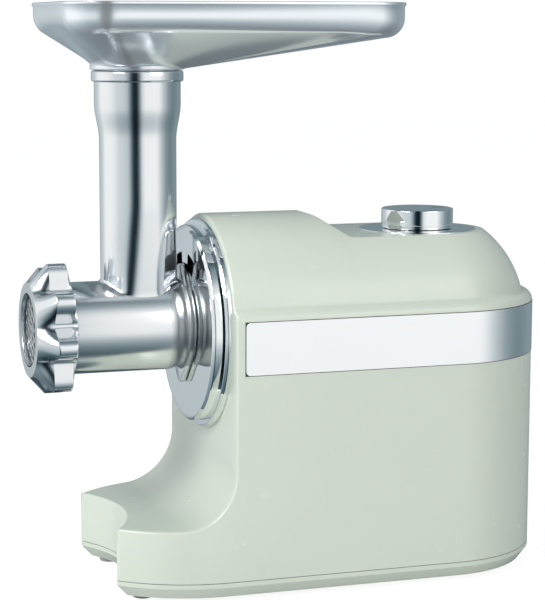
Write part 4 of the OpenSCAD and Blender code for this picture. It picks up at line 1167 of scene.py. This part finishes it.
# Lamps, floor and camera, in metres, and the lens in millimetres.
LAMP_AIM = (0, 0, 0.18)
FLOOR_REACH = 6.0
FLOOR_GREY = (0.86, 0.86, 0.86, 1)
FLOOR_GLOW = 1.08
GLOW_SHARE = 0.85
CAMERA_AT = (-0.4323, -1.25847, 0.37775)
CAMERA_YAW, CAMERA_PITCH = math.radians(17.64), math.radians(8.05)
LENS, SENSOR = 115.56, 36
SHIFT_X, SHIFT_Y = 0.0539, -0.0012


def studio_world():
    """White room for the camera; reflections see soft white walls, dark gaps and a grey far side."""
    world = bpy.data.worlds.new("studio")
    bpy.context.scene.world = world
    t = Tree(world)
    x, y, z = t.parts(t.add("ShaderNodeTexCoord", out="Generated"))
    turn = x.math("ARCTAN2", y * -1.0) * (180 / math.pi)
    rise = z.math("ARCSINE") * (180 / math.pi)
    round_walls = t.add("ShaderNodeValToRGB", {"stops": WALL_STOPS}, {"Fac": turn / 360 + 0.5})
    up_down = t.add("ShaderNodeValToRGB", {"stops": HEIGHT_STOPS}, {"Fac": rise / 180 + 0.5})
    seen, mirrored = t.rays()
    room = t.mix(1.0, round_walls, up_down, "MULTIPLY")
    lit = t.mix(mirrored, rgba(DIFFUSE_WALLS), room)
    sky = t.mix(seen, lit, rgba((1, 1, 1)))
    back = t.add("ShaderNodeBackground", values={"Color": sky, "Strength": 1.0})
    t.add("ShaderNodeOutputWorld", values={"Surface": back})


def lamp(name, place, size, power):
    """Square area lamp aimed at the machine."""
    light = bpy.data.lights.new(name, "AREA")
    light.size = size
    light.energy = power
    obj = new_object(name, light)
    obj.location = place
    obj.rotation_euler = (Vector(LAMP_AIM) - Vector(place)).to_track_quat("-Z", "Y").to_euler()


def white_floor():
    """White floor, mostly glowing for the camera and clear for reflections."""
    mesh = bpy.data.meshes.new("floor")
    r = FLOOR_REACH
    mesh.from_pydata([(-r, -r, 0), (r, -r, 0), (r, r, 0), (-r, r, 0)], [], [(0, 1, 2, 3)])
    floor = new_object("floor", mesh)
    mat, t = material("white floor")
    seen, mirrored = t.rays()
    matt = t.add("ShaderNodeBsdfDiffuse", values={"Color": FLOOR_GREY})
    glow = t.add("ShaderNodeEmission", values={"Color": (1, 1, 1, 1), "Strength": FLOOR_GLOW})
    plain = t.add("ShaderNodeMixShader", values={0: GLOW_SHARE * seen, 1: matt, 2: glow})
    clear = t.add("ShaderNodeBsdfTransparent")
    surface = t.add("ShaderNodeMixShader", values={0: mirrored, 1: plain, 2: clear})
    t.add("ShaderNodeOutputMaterial", values={"Surface": surface})
    mesh.materials.append(mat)


def camera():
    """Camera at its fixed place, set as the scene's."""
    data = bpy.data.cameras.new("camera")
    obj = new_object("camera", data)
    flat = math.cos(CAMERA_PITCH)
    look = Vector((math.sin(CAMERA_YAW) * flat, math.cos(CAMERA_YAW) * flat, -math.sin(CAMERA_PITCH)))
    obj.location = CAMERA_AT
    obj.rotation_euler = look.to_track_quat("-Z", "Y").to_euler()
    data.lens = LENS
    data.sensor_width = SENSOR
    data.shift_x = SHIFT_X
    data.shift_y = SHIFT_Y
    data.clip_end = 20
    bpy.context.scene.camera = obj


studio_world()
lamp("key", (-1.6, -0.75, 1.5), 0.9, 30)
lamp("fill", (0.9, -1.4, 0.9), 1.0, 3.5)
white_floor()
camera()
bpy.context.scene.view_settings.view_transform = "Standard"
